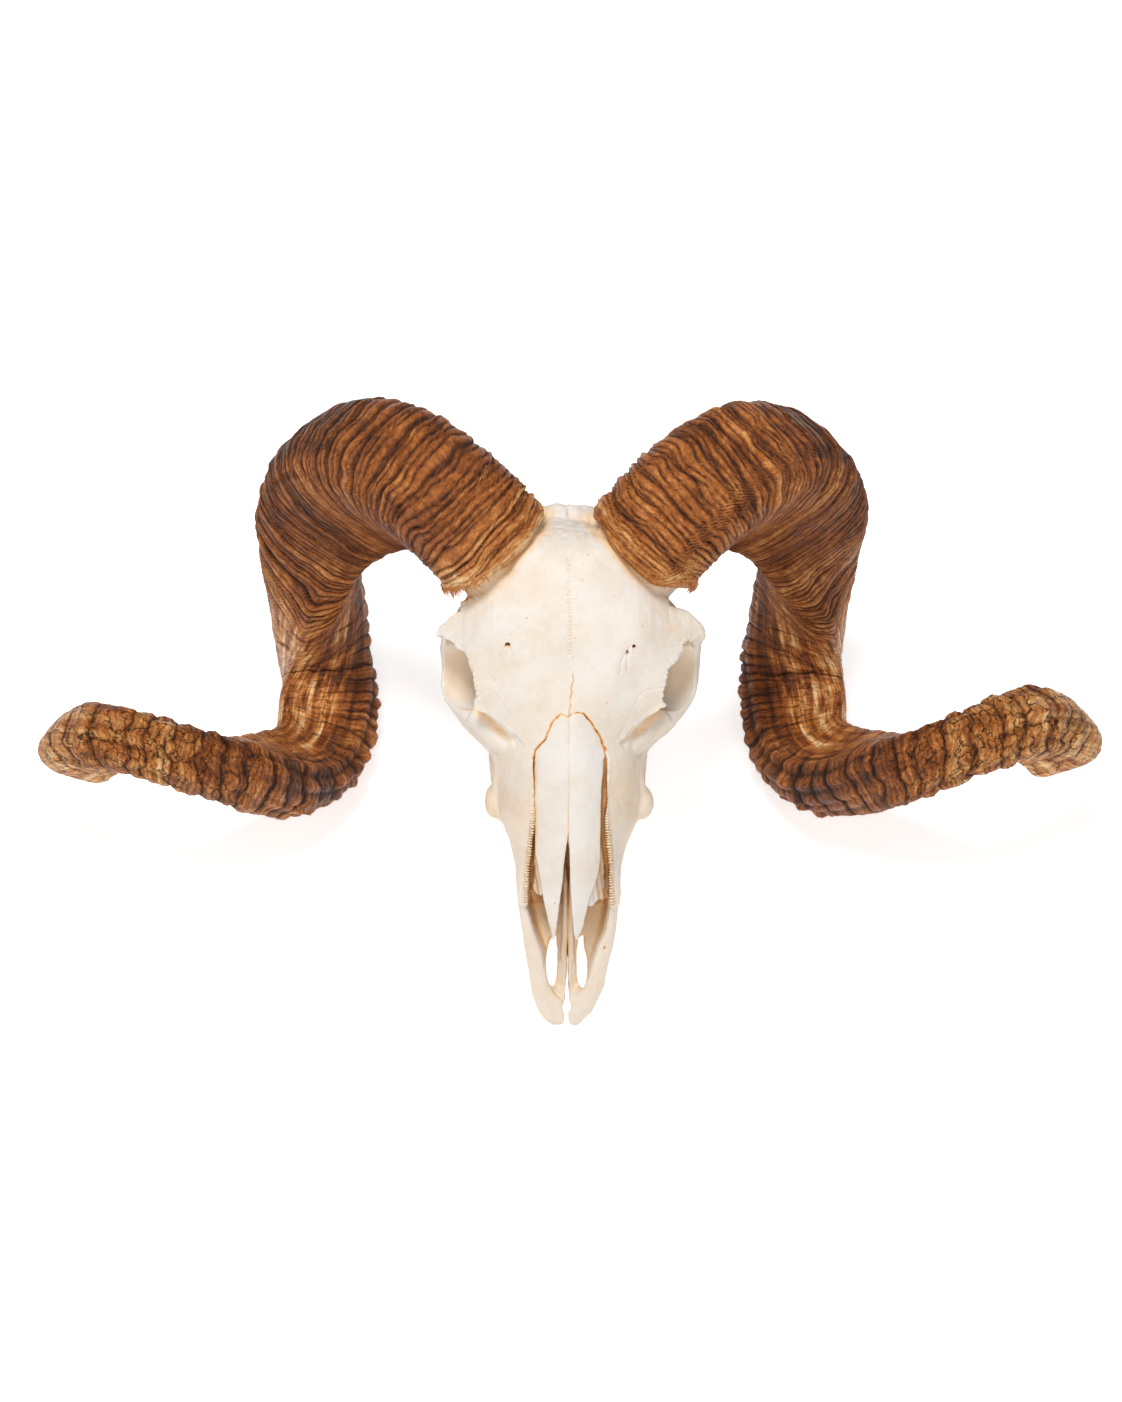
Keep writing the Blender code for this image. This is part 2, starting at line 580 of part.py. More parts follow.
def build():
    clear_scene()
    nasals = [nasal("nasal_left", 1), nasal("nasal_right", -1)]
    premaxillae = [keep_largest(premaxilla("premaxilla_left", 1)),
                   keep_largest(premaxilla("premaxilla_right", -1))]
    skull = fused("skull", skull_pieces(), VOXEL, 3)
    combine(skull, skull_cutters(), 'DIFFERENCE')
    keep_largest(skull)
    thinned(skull, SKULL_TRIANGLES)
    keep_largest(skull)
    # The pieces that lie in the bone keep their clearance to it.
    seats = [inflated(obj, GAP) for obj in nasals + premaxillae]
    combine(skull, seats, 'DIFFERENCE')
    horns = [horn("horn_left", HORN_LEFT, False), horn("horn_right", HORN_RIGHT, True)]
    for piece in horns:
        combine(piece, [inflated(skull, SEAT_GAP)], 'DIFFERENCE')
        keep_largest(piece)
    combine(skull, sum((both_sides(tooth) for tooth in teeth()), []), 'UNION')
    cut = block("cut", (-90, -GAP / 2, -160), (90, GAP / 2, 40))
    cut.data.transform(Matrix.Translation((0, SUTURE_V * MM, -40 * MM))
                       @ Matrix.Rotation(math.radians(SUTURE_LEAN), 4, 'X')
                       @ Matrix.Translation((0, 0, 40 * MM)))
    combine(skull, [cut], 'DIFFERENCE')
    bones = [keep_largest(bone) for bone in parted(skull, ["cranium", "maxilla"])]
    pieces = bones + nasals + premaxillae + horns

    # The slope at which the skull lies, and the flats worn where it rests.
    rest = bpy.data.objects.new("rest", None)
    bpy.context.scene.collection.objects.link(rest)
    rest.rotation_euler = (math.radians(FACE_SLOPE), 0, 0)
    for piece in pieces:
        piece.parent = rest
    bpy.context.view_layer.update()
    supports = [world_points([horns[0]])[:, 2].min(), world_points([horns[1]])[:, 2].min(),
                world_points(premaxillae)[:, 2].min()]
    print("lowest points, mm:", [round(z / MM, 2) for z in supports])
    every = world_points(pieces)
    middle = (every.min(0) + every.max(0)) / 2
    rest.location = (-middle[0], -middle[1], -max(supports) - FLAT_DEPTH * MM)
    bpy.context.view_layer.update()
    for piece in horns + premaxillae:
        floor = block("floor", (-400, -400, -30), (400, 400, 0))
        floor.parent = rest
        floor.matrix_parent_inverse = rest.matrix_world.inverted()
        bpy.context.view_layer.update()
        combine(piece, [floor], 'DIFFERENCE')
        keep_largest(piece)
    for piece in pieces:
        bony = not piece.name.startswith("horn")
        finish(piece, BONE if bony else HORN, 0.55 if bony else 0.6)
        print(piece.name, sum(len(face.vertices) - 2 for face in piece.data.polygons))


build()
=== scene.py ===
# %% [markdown]
# # A ram's skull with both horns
#
# This lesson dresses the plain solids of a ram's skull as a museum piece. The real object has three kinds
# of surface: dry, off-white bone with fine seams and pores; two horn sheaths, which are keratin grown in
# uneven rings; and the hollows, where bone is thin, shaded and tan. A skull could be sculpted by hand, but
# here every form is a function of a few measured places, so that each can be read, checked and moved.
# Everything is drawn in the skull's own frame, in millimetres: u to the animal's left, v from the muzzle
# to the back of the head, and w up out of the face. One tilt then lays it on the floor.

# %% Load the solids
import math

import bmesh
import bpy
import numpy as np
from mathutils import Matrix, Vector
from mathutils.bvhtree import BVHTree
from mathutils.geometry import delaunay_2d_cdt


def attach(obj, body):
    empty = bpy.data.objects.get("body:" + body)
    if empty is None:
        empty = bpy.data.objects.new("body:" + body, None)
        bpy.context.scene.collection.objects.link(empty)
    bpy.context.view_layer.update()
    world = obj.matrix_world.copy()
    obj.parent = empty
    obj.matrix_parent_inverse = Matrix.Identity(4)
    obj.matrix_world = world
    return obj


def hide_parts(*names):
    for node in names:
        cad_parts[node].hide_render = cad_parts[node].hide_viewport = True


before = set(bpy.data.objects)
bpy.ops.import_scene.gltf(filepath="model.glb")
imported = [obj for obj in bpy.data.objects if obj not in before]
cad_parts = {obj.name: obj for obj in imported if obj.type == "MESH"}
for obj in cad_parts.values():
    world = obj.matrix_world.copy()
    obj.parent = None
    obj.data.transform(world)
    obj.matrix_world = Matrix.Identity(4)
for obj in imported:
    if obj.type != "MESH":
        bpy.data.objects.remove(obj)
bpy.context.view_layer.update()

print("solids:", sorted(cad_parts))

# %% [markdown]
# The skull lies with its face sloping 40.4 degrees up from the floor. A turn about the sideways axis and a
# shift take any point from the skull's frame to the room. Writing it once as a function means that every
# piece below can be drawn where an anatomist would measure it.

# %% From the skull's frame to the room
MM = 0.001
FACE_SLOPE = math.radians(40.4)
RESTS_AT = np.array((3.105, -13.420, 178.695))
TILT = np.array(((1, 0, 0),
                 (0, math.cos(FACE_SLOPE), -math.sin(FACE_SLOPE)),
                 (0, math.sin(FACE_SLOPE), math.cos(FACE_SLOPE))))


def in_room(points):
    """Skull millimetres to room metres."""
    return (np.asarray(points, float) @ TILT.T + RESTS_AT) * MM


def way_in_room(direction):
    """A direction of the skull's frame, in the room."""
    return Vector(TILT @ np.asarray(direction, float)).normalized()


print("muzzle tip in the room, m:", in_room((0, -208, -55)).round(3))

# %% [markdown]
# The photograph looks square at the face. Where the picture was taken from can only be judged: about two
# metres, with a long lens, which keeps the near muzzle and the far curls of the horns at nearly the same
# scale. So the camera stands on the line out of the face, and its picture's top is the back of the head.

# %% Camera
scene = bpy.context.scene
CAMERA_AT = (-4.16, -36.92, 2025)


def shown(name, data):
    """A new object of the scene with this mesh, lamp or camera."""
    obj = bpy.data.objects.new(name, data)
    scene.collection.objects.link(obj)
    return obj


camera = shown("camera", bpy.data.cameras.new("camera"))
camera.data.lens = 100
camera.data.sensor_width = 36
camera.data.clip_end = 20
camera.location = Vector(in_room(CAMERA_AT))
looks, upward = way_in_room((0, 0, -1)), way_in_room((0, 1, 0))
turned = Matrix((looks.cross(upward), upward, -looks)).transposed().to_4x4()
camera.matrix_world = Matrix.Translation(camera.location) @ turned
scene.camera = camera
print("camera height, m:", round(camera.location.z, 3))

# %% [markdown]
# A skull cut out on pure white is lit from all round: a weak even sky, a floor that glows (it is made near
# the end), and lamps for the modelling. The strongest stands beyond the crown, so that ridges and brows
# throw their shade toward the muzzle. One beside the camera fills the face, and a weak one on each side
# draws the horns' edges. The lamps are half a metre wide and more: small enough for glints along the
# rings, and large enough that no shadow on the floor is hard.

# %% Light
WORLD_STRENGTH = 0.24
FACE_MIDDLE = (0, -30, -60)
scene.view_settings.view_transform = "Standard"
world = bpy.data.worlds.new("light tent")
world.use_nodes = True
backdrop = world.node_tree.nodes["Background"].inputs
backdrop["Color"].default_value = (1.0, 1.0, 1.0, 1)
backdrop["Strength"].default_value = WORLD_STRENGTH
scene.world = world


def lamp(name, place, size, power):
    """A square soft lamp at a place of the skull's frame, aimed at the face: metres and watts."""
    light = bpy.data.lights.new(name, "AREA")
    light.shape, light.size, light.energy = "SQUARE", size, power
    obj = shown(name, light)
    obj.location = in_room(place)
    towards = Vector(in_room(FACE_MIDDLE)) - obj.location
    obj.rotation_euler = towards.to_track_quat("-Z", "Y").to_euler()
    return obj


LAMPS = [lamp("lamp_above", (-180, 950, 1300), 0.5, 22),
         lamp("lamp_front", (60, -250, 1900), 0.7, 11.5),
         lamp("lamp_left", (-1500, 200, 900), 0.8, 3.5),
         lamp("lamp_right", (1500, 300, 900), 0.8, 2)]
print("lamps:", [light.name for light in LAMPS])

# %% [markdown]
# Shader maths reads best as sums. This small class wraps one socket of a material, so that a mask can be
# added, scaled or turned round with ordinary operators, and each operator adds the Math node that it
# stands for.

# %% A maker of materials
class Wire:
    """One output of a material's nodes, with arithmetic."""

    def __init__(self, paint, socket):
        self.paint, self.socket = paint, socket

    def maths(self, operation, first, second):
        return self.paint.add("ShaderNodeMath", {"operation": operation}, [first, second])

    def __add__(self, other):
        return self.maths("ADD", self, other)

    def __radd__(self, other):
        return self.maths("ADD", other, self)

    def __sub__(self, other):
        return self.maths("SUBTRACT", self, other)

    def __rsub__(self, other):
        return self.maths("SUBTRACT", other, self)

    def __mul__(self, other):
        return self.maths("MULTIPLY", self, other)

    def __rmul__(self, other):
        return self.maths("MULTIPLY", other, self)

    def __pow__(self, other):
        return self.maths("POWER", self, other)


class Paint:
    """A material and its main shader."""

    def __init__(self, name):
        self.material = bpy.data.materials.new(name)
        self.material.use_nodes = True
        self.nodes = self.material.node_tree.nodes
        self.links = self.material.node_tree.links
        self.shader = self.nodes["Principled BSDF"]

    def add(self, kind, settings=None, sockets=None, output=0):
        """A node of any kind: its settings first, then the values or wires of its sockets."""
        node = self.nodes.new(kind)
        for key, value in (settings or {}).items():
            if key == "stops":
                self.fill_ramp(node.color_ramp, value)
            else:
                setattr(node, key, value)
        pairs = enumerate(sockets) if isinstance(sockets, list) else (sockets or {}).items()
        for key, value in pairs:
            self.feed(node.inputs[key], value)
        return Wire(self, node.outputs[output])

    def feed(self, socket, value):
        if isinstance(value, Wire):
            self.links.new(value.socket, socket)
        elif isinstance(value, (tuple, list)) and socket.type == "RGBA":
            socket.default_value = (*value[:3], 1)
        else:
            socket.default_value = value

    def fill_ramp(self, ramp, stops):
        while len(ramp.elements) < len(stops):
            ramp.elements.new(1.0)
        for element, (place, colour) in zip(ramp.elements, stops):
            element.position = place
            element.color = (*colour[:3], 1)

    def blend(self, share, first, second):
        """Two colours mixed by a share."""
        return self.add("ShaderNodeMix", {"data_type": "RGBA"}, {0: share, 6: first, 7: second}, output=2)

    def reading(self, attribute, output=2):
        """A value, or with output 1 a vector, that was stored on the mesh."""
        return self.add("ShaderNodeAttribute", {"attribute_name": attribute}, {}, output)

    def noise(self, place, scale, detail=4, rough=0.6, output=0):
        sockets = {"Vector": place, "Scale": scale, "Detail": detail, "Roughness": rough}
        return self.add("ShaderNodeTexNoise", {}, sockets, output)

    def streaks(self, place, scale, detail, rough):
        """Noise that is stretched: a small scale along one axis makes its marks long that way."""
        return self.noise(self.stretched(place, scale), 1.0, detail, rough)

    def ramp(self, value, stops):
        """A colour from a row of colours, each given as the camera writes it."""
        stops = [(at, srgb(*colour)) for at, colour in stops]
        return self.add("ShaderNodeValToRGB", {"stops": stops}, {0: value})

    def between(self, value, low, high):
        """The value's place between two limits, as a share that stays from 0 to 1."""
        return self.add("ShaderNodeMapRange", {}, [value, low, high])

    def stretched(self, place, scale):
        return self.add("ShaderNodeVectorMath", {"operation": "MULTIPLY"}, [place, scale])

    def finish(self, colour, rough, height, strength, distance):
        """Wires the surface: its colour, its roughness and a bump of the given depth in metres."""
        settings = {"Height": height, "Strength": strength, "Distance": distance}
        bump = self.add("ShaderNodeBump", {}, settings)
        for name, wire in (("Base Color", colour), ("Roughness", rough), ("Normal", bump)):
            self.feed(self.shader.inputs[name], wire)


def srgb(red, green, blue):
    """A colour as a camera writes it, 0 to 255, made linear."""
    shares = np.array((red, green, blue)) / 255
    return tuple(np.where(shares <= 0.04045, shares / 12.92, ((shares + 0.055) / 1.055) ** 2.4))


print("shader helpers ready")

# %% [markdown]
# Bone and horn are both drawn from a few measured places, joined by smooth curves. A natural cubic spline
# bends as a thin strip of steel does between pins, which is how growth looks, so the same function serves
# for the horn's spiral, the head's outline and the paths of the sutures.

# %% Smooth curves and smooth chance
def spline(knots, values, at):
    """A natural cubic through rows of values, read at the given places."""
    knots, values = np.asarray(knots, float), np.asarray(values, float)
    n, h = len(knots), np.diff(knots)
    m, r = np.zeros((n, n)), np.zeros_like(values)
    m[0, 0] = m[-1, -1] = 1
    slope = np.diff(values, axis=0) / h[:, None]
    for i in range(1, n - 1):
        m[i, i - 1:i + 2] = h[i - 1], 2 * (h[i - 1] + h[i]), h[i]
        r[i] = 3 * (slope[i] - slope[i - 1])
    c = np.linalg.solve(m, r)
    k = np.clip(np.searchsorted(knots, at) - 1, 0, n - 2)
    t, hk = (at - knots[k])[:, None], h[k][:, None]
    b = slope[k] - hk * (2 * c[k] + c[k + 1]) / 3
    return values[k] + t * (b + t * (c[k] + t * (c[k + 1] - c[k]) / (3 * hk)))


def closed_curve(points, count):
    """Points evenly round a smooth loop through the given ones."""
    points = np.array(points, float)
    turn = np.arange(-3, len(points) + 4)
    return spline(turn, points[turn % len(points)], np.arange(count) * len(points) / count)


def open_curve(points, count):
    """Points evenly along a smooth line through the given ones."""
    points = np.array(points, float)
    steps = np.concatenate([[0], np.cumsum(np.linalg.norm(np.diff(points, axis=0), axis=1))])
    return spline(steps, points, np.linspace(0, steps[-1], count))


def wander(along, around, cell, count, seed):
    """Smooth chance from -1 to 1 on a tube: a new value each cell millimetres, and count of them round it."""
    rng = np.random.default_rng(seed)
    grid = rng.uniform(-1, 1, (int(along.max() / cell) + 4, count))
    a, b = np.maximum(along / cell + 1, 0), around * count
    i, j = a.astype(int), np.floor(b).astype(int)
    f, g = a - i, b - j
    f, g = f * f * (3 - 2 * f), g * g * (3 - 2 * g)
    low = grid[i, j % count] * (1 - g) + grid[i, (j + 1) % count] * g
    high = grid[i + 1, j % count] * (1 - g) + grid[i + 1, (j + 1) % count] * g
    return low * (1 - f) + high * f


def chart(rows, along, around):
    """A value over a horn from a small table: one row for each share of its length, one column for each
    corner of its section."""
    places = np.array([row[0] for row in rows])
    table = np.array([row[1] for row in rows], float)
    corner = around * table.shape[1]
    j = np.floor(corner).astype(int)
    g = corner - j
    g = g * g * (3 - 2 * g)
    found = np.zeros(np.broadcast(along, around).shape)
    share = np.broadcast_to(along, found.shape)
    for column in range(table.shape[1]):
        after = (column + 1) % table.shape[1]
        here = np.broadcast_to(j % table.shape[1] == column, found.shape)
        first = np.interp(share[here], places, table[:, column])
        second = np.interp(share[here], places, table[:, after])
        mix = np.broadcast_to(g, found.shape)[here]
        found[here] = first * (1 - mix) + second * mix
    return found


print("a spline through 0, 1, 0 at the quarter:", spline([0, 1, 2], [[0], [1], [0]], np.array([0.5])))

# %% [markdown]
# Each horn grows in an open spiral. A row of the tables below is one station on its middle line: how far it
# is from the midline of the head, v and w, the width of the ridged front face, the depth from that face
# to the inner keel, and the way the front face looks. The two horns of one ram never match exactly, so each
# has its own table.

# %% The spiral of each horn
HORN_LEFT = (
    (39, 39, -36, 63, 80, (-0.1, 0.1, 1.0)),
    (66, 66, -30, 66, 85, (-0.1, 0.3, 0.95)),
    (101, 83, -50, 63, 84, (0.1, 0.68, 0.72)),
    (129, 62, -105, 55, 71, (0.5, 0.6, -0.45)),
    (132, 28, -145, 53, 63, (-0.05, 0.4, -0.9)),
    (130, -10, -163, 58, 61, (-0.5, 0.0, -0.87)),
    (126, -48, -153, 56, 58, (-0.8, -0.4, -0.35)),
    (137, -73, -116, 46, 52, (-0.5, -0.85, 0.1)),
    (172, -73, -77, 38, 45, (0.0, -0.5, 0.85)),
    (213, -62, -57, 35, 40, (0.1, 0.3, 0.95)),
    (248, -52, -66, 39, 42, (0.5, 0.6, 0.6)),
    (276, -66, -98, 38, 42, (0.5, 0.8, 0.2)),
)
HORN_RIGHT = (
    (39, 39, -36, 63, 80, (-0.1, 0.1, 1.0)),
    (66, 66, -30, 66, 86, (-0.1, 0.3, 0.95)),
    (101, 84, -50, 63, 86, (0.1, 0.68, 0.72)),
    (136, 64, -105, 56, 72, (0.55, 0.6, -0.45)),
    (141, 28, -145, 52, 63, (0.2, 0.4, -0.87)),
    (140, -10, -164, 54, 60, (-0.25, 0.0, -0.97)),
    (136, -48, -155, 52, 56, (-0.7, -0.45, -0.5)),
    (144, -74, -119, 43, 50, (-0.5, -0.85, 0.1)),
    (173, -75, -78, 38, 44, (0.0, -0.5, 0.85)),
    (215, -66, -57, 33, 38, (0.1, 0.3, 0.95)),
    (254, -59, -66, 38, 42, (0.5, 0.6, 0.6)),
    (272, -67, -98, 36, 42, (0.55, 0.75, 0.2)),
)
# A rounded triangle, as shares of width and depth: front face, eye-side edge, keel, nape-side edge.
HORN_SECTION = (
    (0.0, 0.43), (0.30, 0.40), (0.47, 0.26), (0.46, 0.02), (0.28, -0.27), (0.09, -0.52),
    (-0.09, -0.52), (-0.28, -0.27), (-0.46, 0.02), (-0.47, 0.26), (-0.30, 0.40),
)


def horn_frames(stations, at):
    """Centre, way ahead, front and side, width and depth at places along the horn from 0 to 1."""
    table = np.array([(*s[:5], *s[5]) for s in stations], float)
    steps = np.concatenate(
        [[0], np.cumsum(np.linalg.norm(np.diff(table[:, :3], axis=0), axis=1))])
    fine = np.linspace(0, steps[-1], 800)
    line = spline(steps, table[:, :3], fine)
    run = np.concatenate([[0], np.cumsum(np.linalg.norm(np.diff(line, axis=0), axis=1))])
    place = np.interp(at * run[-1], run, fine)
    rows = spline(steps, table, place)
    ahead = spline(steps, table[:, :3], place + 1) - spline(steps, table[:, :3], place - 1)
    ahead /= np.linalg.norm(ahead, axis=1)[:, None]
    front = rows[:, 5:] - (rows[:, 5:] * ahead).sum(1)[:, None] * ahead
    front /= np.linalg.norm(front, axis=1)[:, None]
    return rows[:, :3], ahead, front, np.cross(ahead, front), rows[:, 3], rows[:, 4], run[-1]


def horn_length(stations):
    return float(horn_frames(stations, np.array([0.0]))[6])


print("horn lengths, mm:", [round(horn_length(stations)) for stations in (HORN_LEFT, HORN_RIGHT)])

# %% [markdown]
# A horn sheath grows at its root in fine rings, and now and then the growth stalls and leaves a deep fold.
# The rings could be painted on, but light rakes across the real ones, so here they are real relief: two
# uneven ladders of rings, one fine and one coarse, laid along the horn and bent by smooth chance. Tables
# say how strong each is, and how dark the horn is, at eleven corners of its section and a dozen places
# along it. The inner face of the lowest curl is nearly smooth, with a few cracks right across it.

# %% Rings, folds and beads
CORNERS = len(HORN_SECTION)
HORN_ROWS, HORN_COLUMNS = 820, 120
HORN_LENGTH = 506
TIP_START = 0.972
RING_PITCH, FOLD_PITCH, LAYER_PITCH, ARC_PITCH = 2.8, 8.2, 1.9, 5.0
#               front  eye edge        keel          nape edge
RING_HEIGHT = (
    (0.00, (0.60, 0.60, 0.70, 0.35, 0.30, 0.30, 0.30, 0.30, 0.50, 0.80, 0.65)),
    (0.20, (0.50, 0.60, 0.80, 0.45, 0.40, 0.30, 0.30, 0.30, 0.30, 0.50, 0.50)),
    (0.32, (0.42, 0.50, 0.65, 0.60, 0.60, 0.60, 0.50, 0.45, 0.40, 0.45, 0.42)),
    (0.39, (0.45, 0.60, 0.75, 0.80, 0.95, 1.00, 0.85, 0.50, 0.35, 0.40, 0.45)),
    (0.435, (0.40, 0.50, 0.50, 0.20, 0.12, 0.15, 0.12, 0.08, 0.08, 0.15, 0.35)),
    (0.54, (0.35, 0.50, 0.40, 0.12, 0.08, 0.10, 0.08, 0.05, 0.05, 0.12, 0.25)),
    (0.62, (0.40, 0.50, 0.40, 0.15, 0.10, 0.15, 0.10, 0.08, 0.10, 0.15, 0.35)),
    (0.70, (0.20, 0.20, 0.20, 0.20, 0.16, 0.20, 0.18, 0.14, 0.14, 0.18, 0.20)),
    (0.80, (0.16, 0.16, 0.16, 0.15, 0.15, 0.15, 0.15, 0.16, 0.16, 0.16, 0.16)),
    (1.00, (0.10, 0.10, 0.10, 0.08, 0.08, 0.08, 0.08, 0.10, 0.10, 0.10, 0.10)),
)
FOLD_HEIGHT = (
    (0.00, (1.30, 1.40, 1.60, 0.50, 0.40, 0.40, 0.40, 0.40, 1.00, 2.20, 1.60)),
    (0.15, (1.30, 1.50, 1.90, 0.60, 0.40, 0.40, 0.40, 0.40, 1.00, 2.00, 1.50)),
    (0.30, (0.80, 0.90, 1.30, 0.70, 0.60, 0.60, 0.50, 0.40, 0.40, 0.90, 0.80)),
    (0.41, (0.80, 1.00, 1.30, 0.70, 0.70, 0.90, 0.60, 0.30, 0.40, 1.60, 1.40)),
    (0.50, (1.60, 1.60, 1.20, 0.30, 0.15, 0.15, 0.10, 0.10, 1.00, 2.60, 2.40)),
    (0.62, (2.30, 2.10, 1.30, 0.40, 0.20, 0.20, 0.15, 0.15, 1.00, 2.80, 2.60)),
    (0.70, (2.20, 2.10, 1.80, 1.00, 0.60, 0.60, 0.60, 0.50, 0.60, 2.40, 2.30)),
    (0.78, (1.80, 1.80, 1.80, 1.50, 1.20, 1.10, 1.10, 1.10, 1.20, 2.00, 1.90)),
    (0.90, (1.40, 1.40, 1.50, 1.30, 1.10, 1.00, 1.00, 1.10, 1.20, 1.60, 1.40)),
    (1.00, (0.40, 0.40, 0.50, 0.40, 0.30, 0.30, 0.30, 0.30, 0.40, 0.50, 0.40)),
)
# Cracks right across the smooth face: share of the length, first and last corner, depth in mm.
SPLITS = ((0.508, 3.3, 8.8, 1.0), (0.556, 3.8, 5.3, 1.4), (0.530, 7.0, 9.0, 0.5), (0.582, 4.2, 9.4, 0.6),
          (0.598, 4.6, 9.6, 0.8), (0.622, 5.4, 9.2, 0.6), (0.470, 3.0, 4.6, 0.8), (0.438, 5.6, 7.8, 0.8))
# From -1, dark brown, to 1, pale straw.
HORN_TONE = (
    (0.00, (0.30, 0.30, 0.40, 0.20, 0.10, 0.00, 0.00, 0.00, 0.10, 0.20, 0.25)),
    (0.10, (0.10, 0.25, 0.45, -0.05, -0.10, -0.10, 0.00, 0.00, 0.00, 0.00, 0.00)),
    (0.19, (-1.10, -0.90, -0.30, -0.10, 0.00, 0.00, 0.00, 0.00, -0.20, -0.50, -1.10)),
    (0.28, (-0.80, -0.80, -0.55, -0.20, 0.00, 0.10, 0.10, -0.10, -0.30, -0.70, -0.80)),
    (0.40, (-0.10, 0.15, 0.25, 0.25, 0.20, 0.15, 0.10, 0.30, 0.30, 0.10, 0.00)),
    (0.45, (-0.15, -0.05, 0.30, 0.90, 1.00, 0.80, 0.70, 0.30, -0.10, -0.25, -0.20)),
    (0.54, (-0.10, -0.10, 0.50, 0.90, 1.10, 1.10, 0.90, 0.40, 0.00, -0.10, -0.20)),
    (0.64, (-0.25, -0.20, 0.40, 0.70, 1.00, 1.00, 0.90, 0.60, 0.20, -0.20, -0.40)),
    (0.72, (-0.20, 0.10, 0.10, 0.10, 0.20, 0.30, 0.25, 0.20, 0.10, -0.80, -0.85)),
    (0.82, (0.40, 0.50, 0.40, 0.30, 0.30, 0.30, 0.20, 0.10, -0.10, 0.00, 0.30)),
    (0.93, (1.30, 1.30, 1.20, 1.10, 1.10, 1.10, 1.10, 1.10, 1.10, 1.10, 1.20)),
    (1.00, (1.70, 1.70, 1.70, 1.60, 1.60, 1.60, 1.60, 1.60, 1.60, 1.60, 1.70)),
)


def ladder(places, pitch, unevenness, seed):
    """Rings at uneven steps: how high each place is, how near a groove it lies, and a number for its ring."""
    rng = np.random.default_rng(seed)
    count = int(places.max() / pitch * 1.6) + 8
    steps = pitch * rng.uniform(1 - unevenness, 1 + unevenness, count)
    edges = np.cumsum(steps) - 6 * pitch
    heights, tones = rng.uniform(0.45, 1.0, count), rng.uniform(-1, 1, count)
    k = np.clip(np.searchsorted(edges, places), 1, count - 1)
    share = (places - edges[k - 1]) / (edges[k] - edges[k - 1])
    crest = np.sqrt(np.clip(4 * share * (1 - share), 0, 1)) * heights[k]
    near = np.minimum(share, 1 - share) * (edges[k] - edges[k - 1])
    return crest, near, tones[k]


def stood_out(points):
    """Outward directions of a tube given as rows of rings."""
    along = np.gradient(points, axis=0)
    around = np.roll(points, -1, axis=1) - np.roll(points, 1, axis=1)
    out = np.cross(around, along)
    return out / np.maximum(np.linalg.norm(out, axis=2), 1e-9)[..., None]


print("rings on a horn: about", round(HORN_LENGTH / RING_PITCH), "fine and",
      round(HORN_LENGTH / FOLD_PITCH), "coarse")

# %% [markdown]
# Now the relief and the spiral meet. The surface starts as a plain swept tube; then every point moves out
# or in by what grows at its place. Past the first bend the rings slant and meet in a V on the keel. On the
# lowest curl the folds are cut lengthwise into beads, and the last stretch is broken like bark. At the
# root the sheath ends in a lip of thin layers. What each point knows about its rings is stored on the
# mesh, so that the colours can follow the same grooves that the light finds.

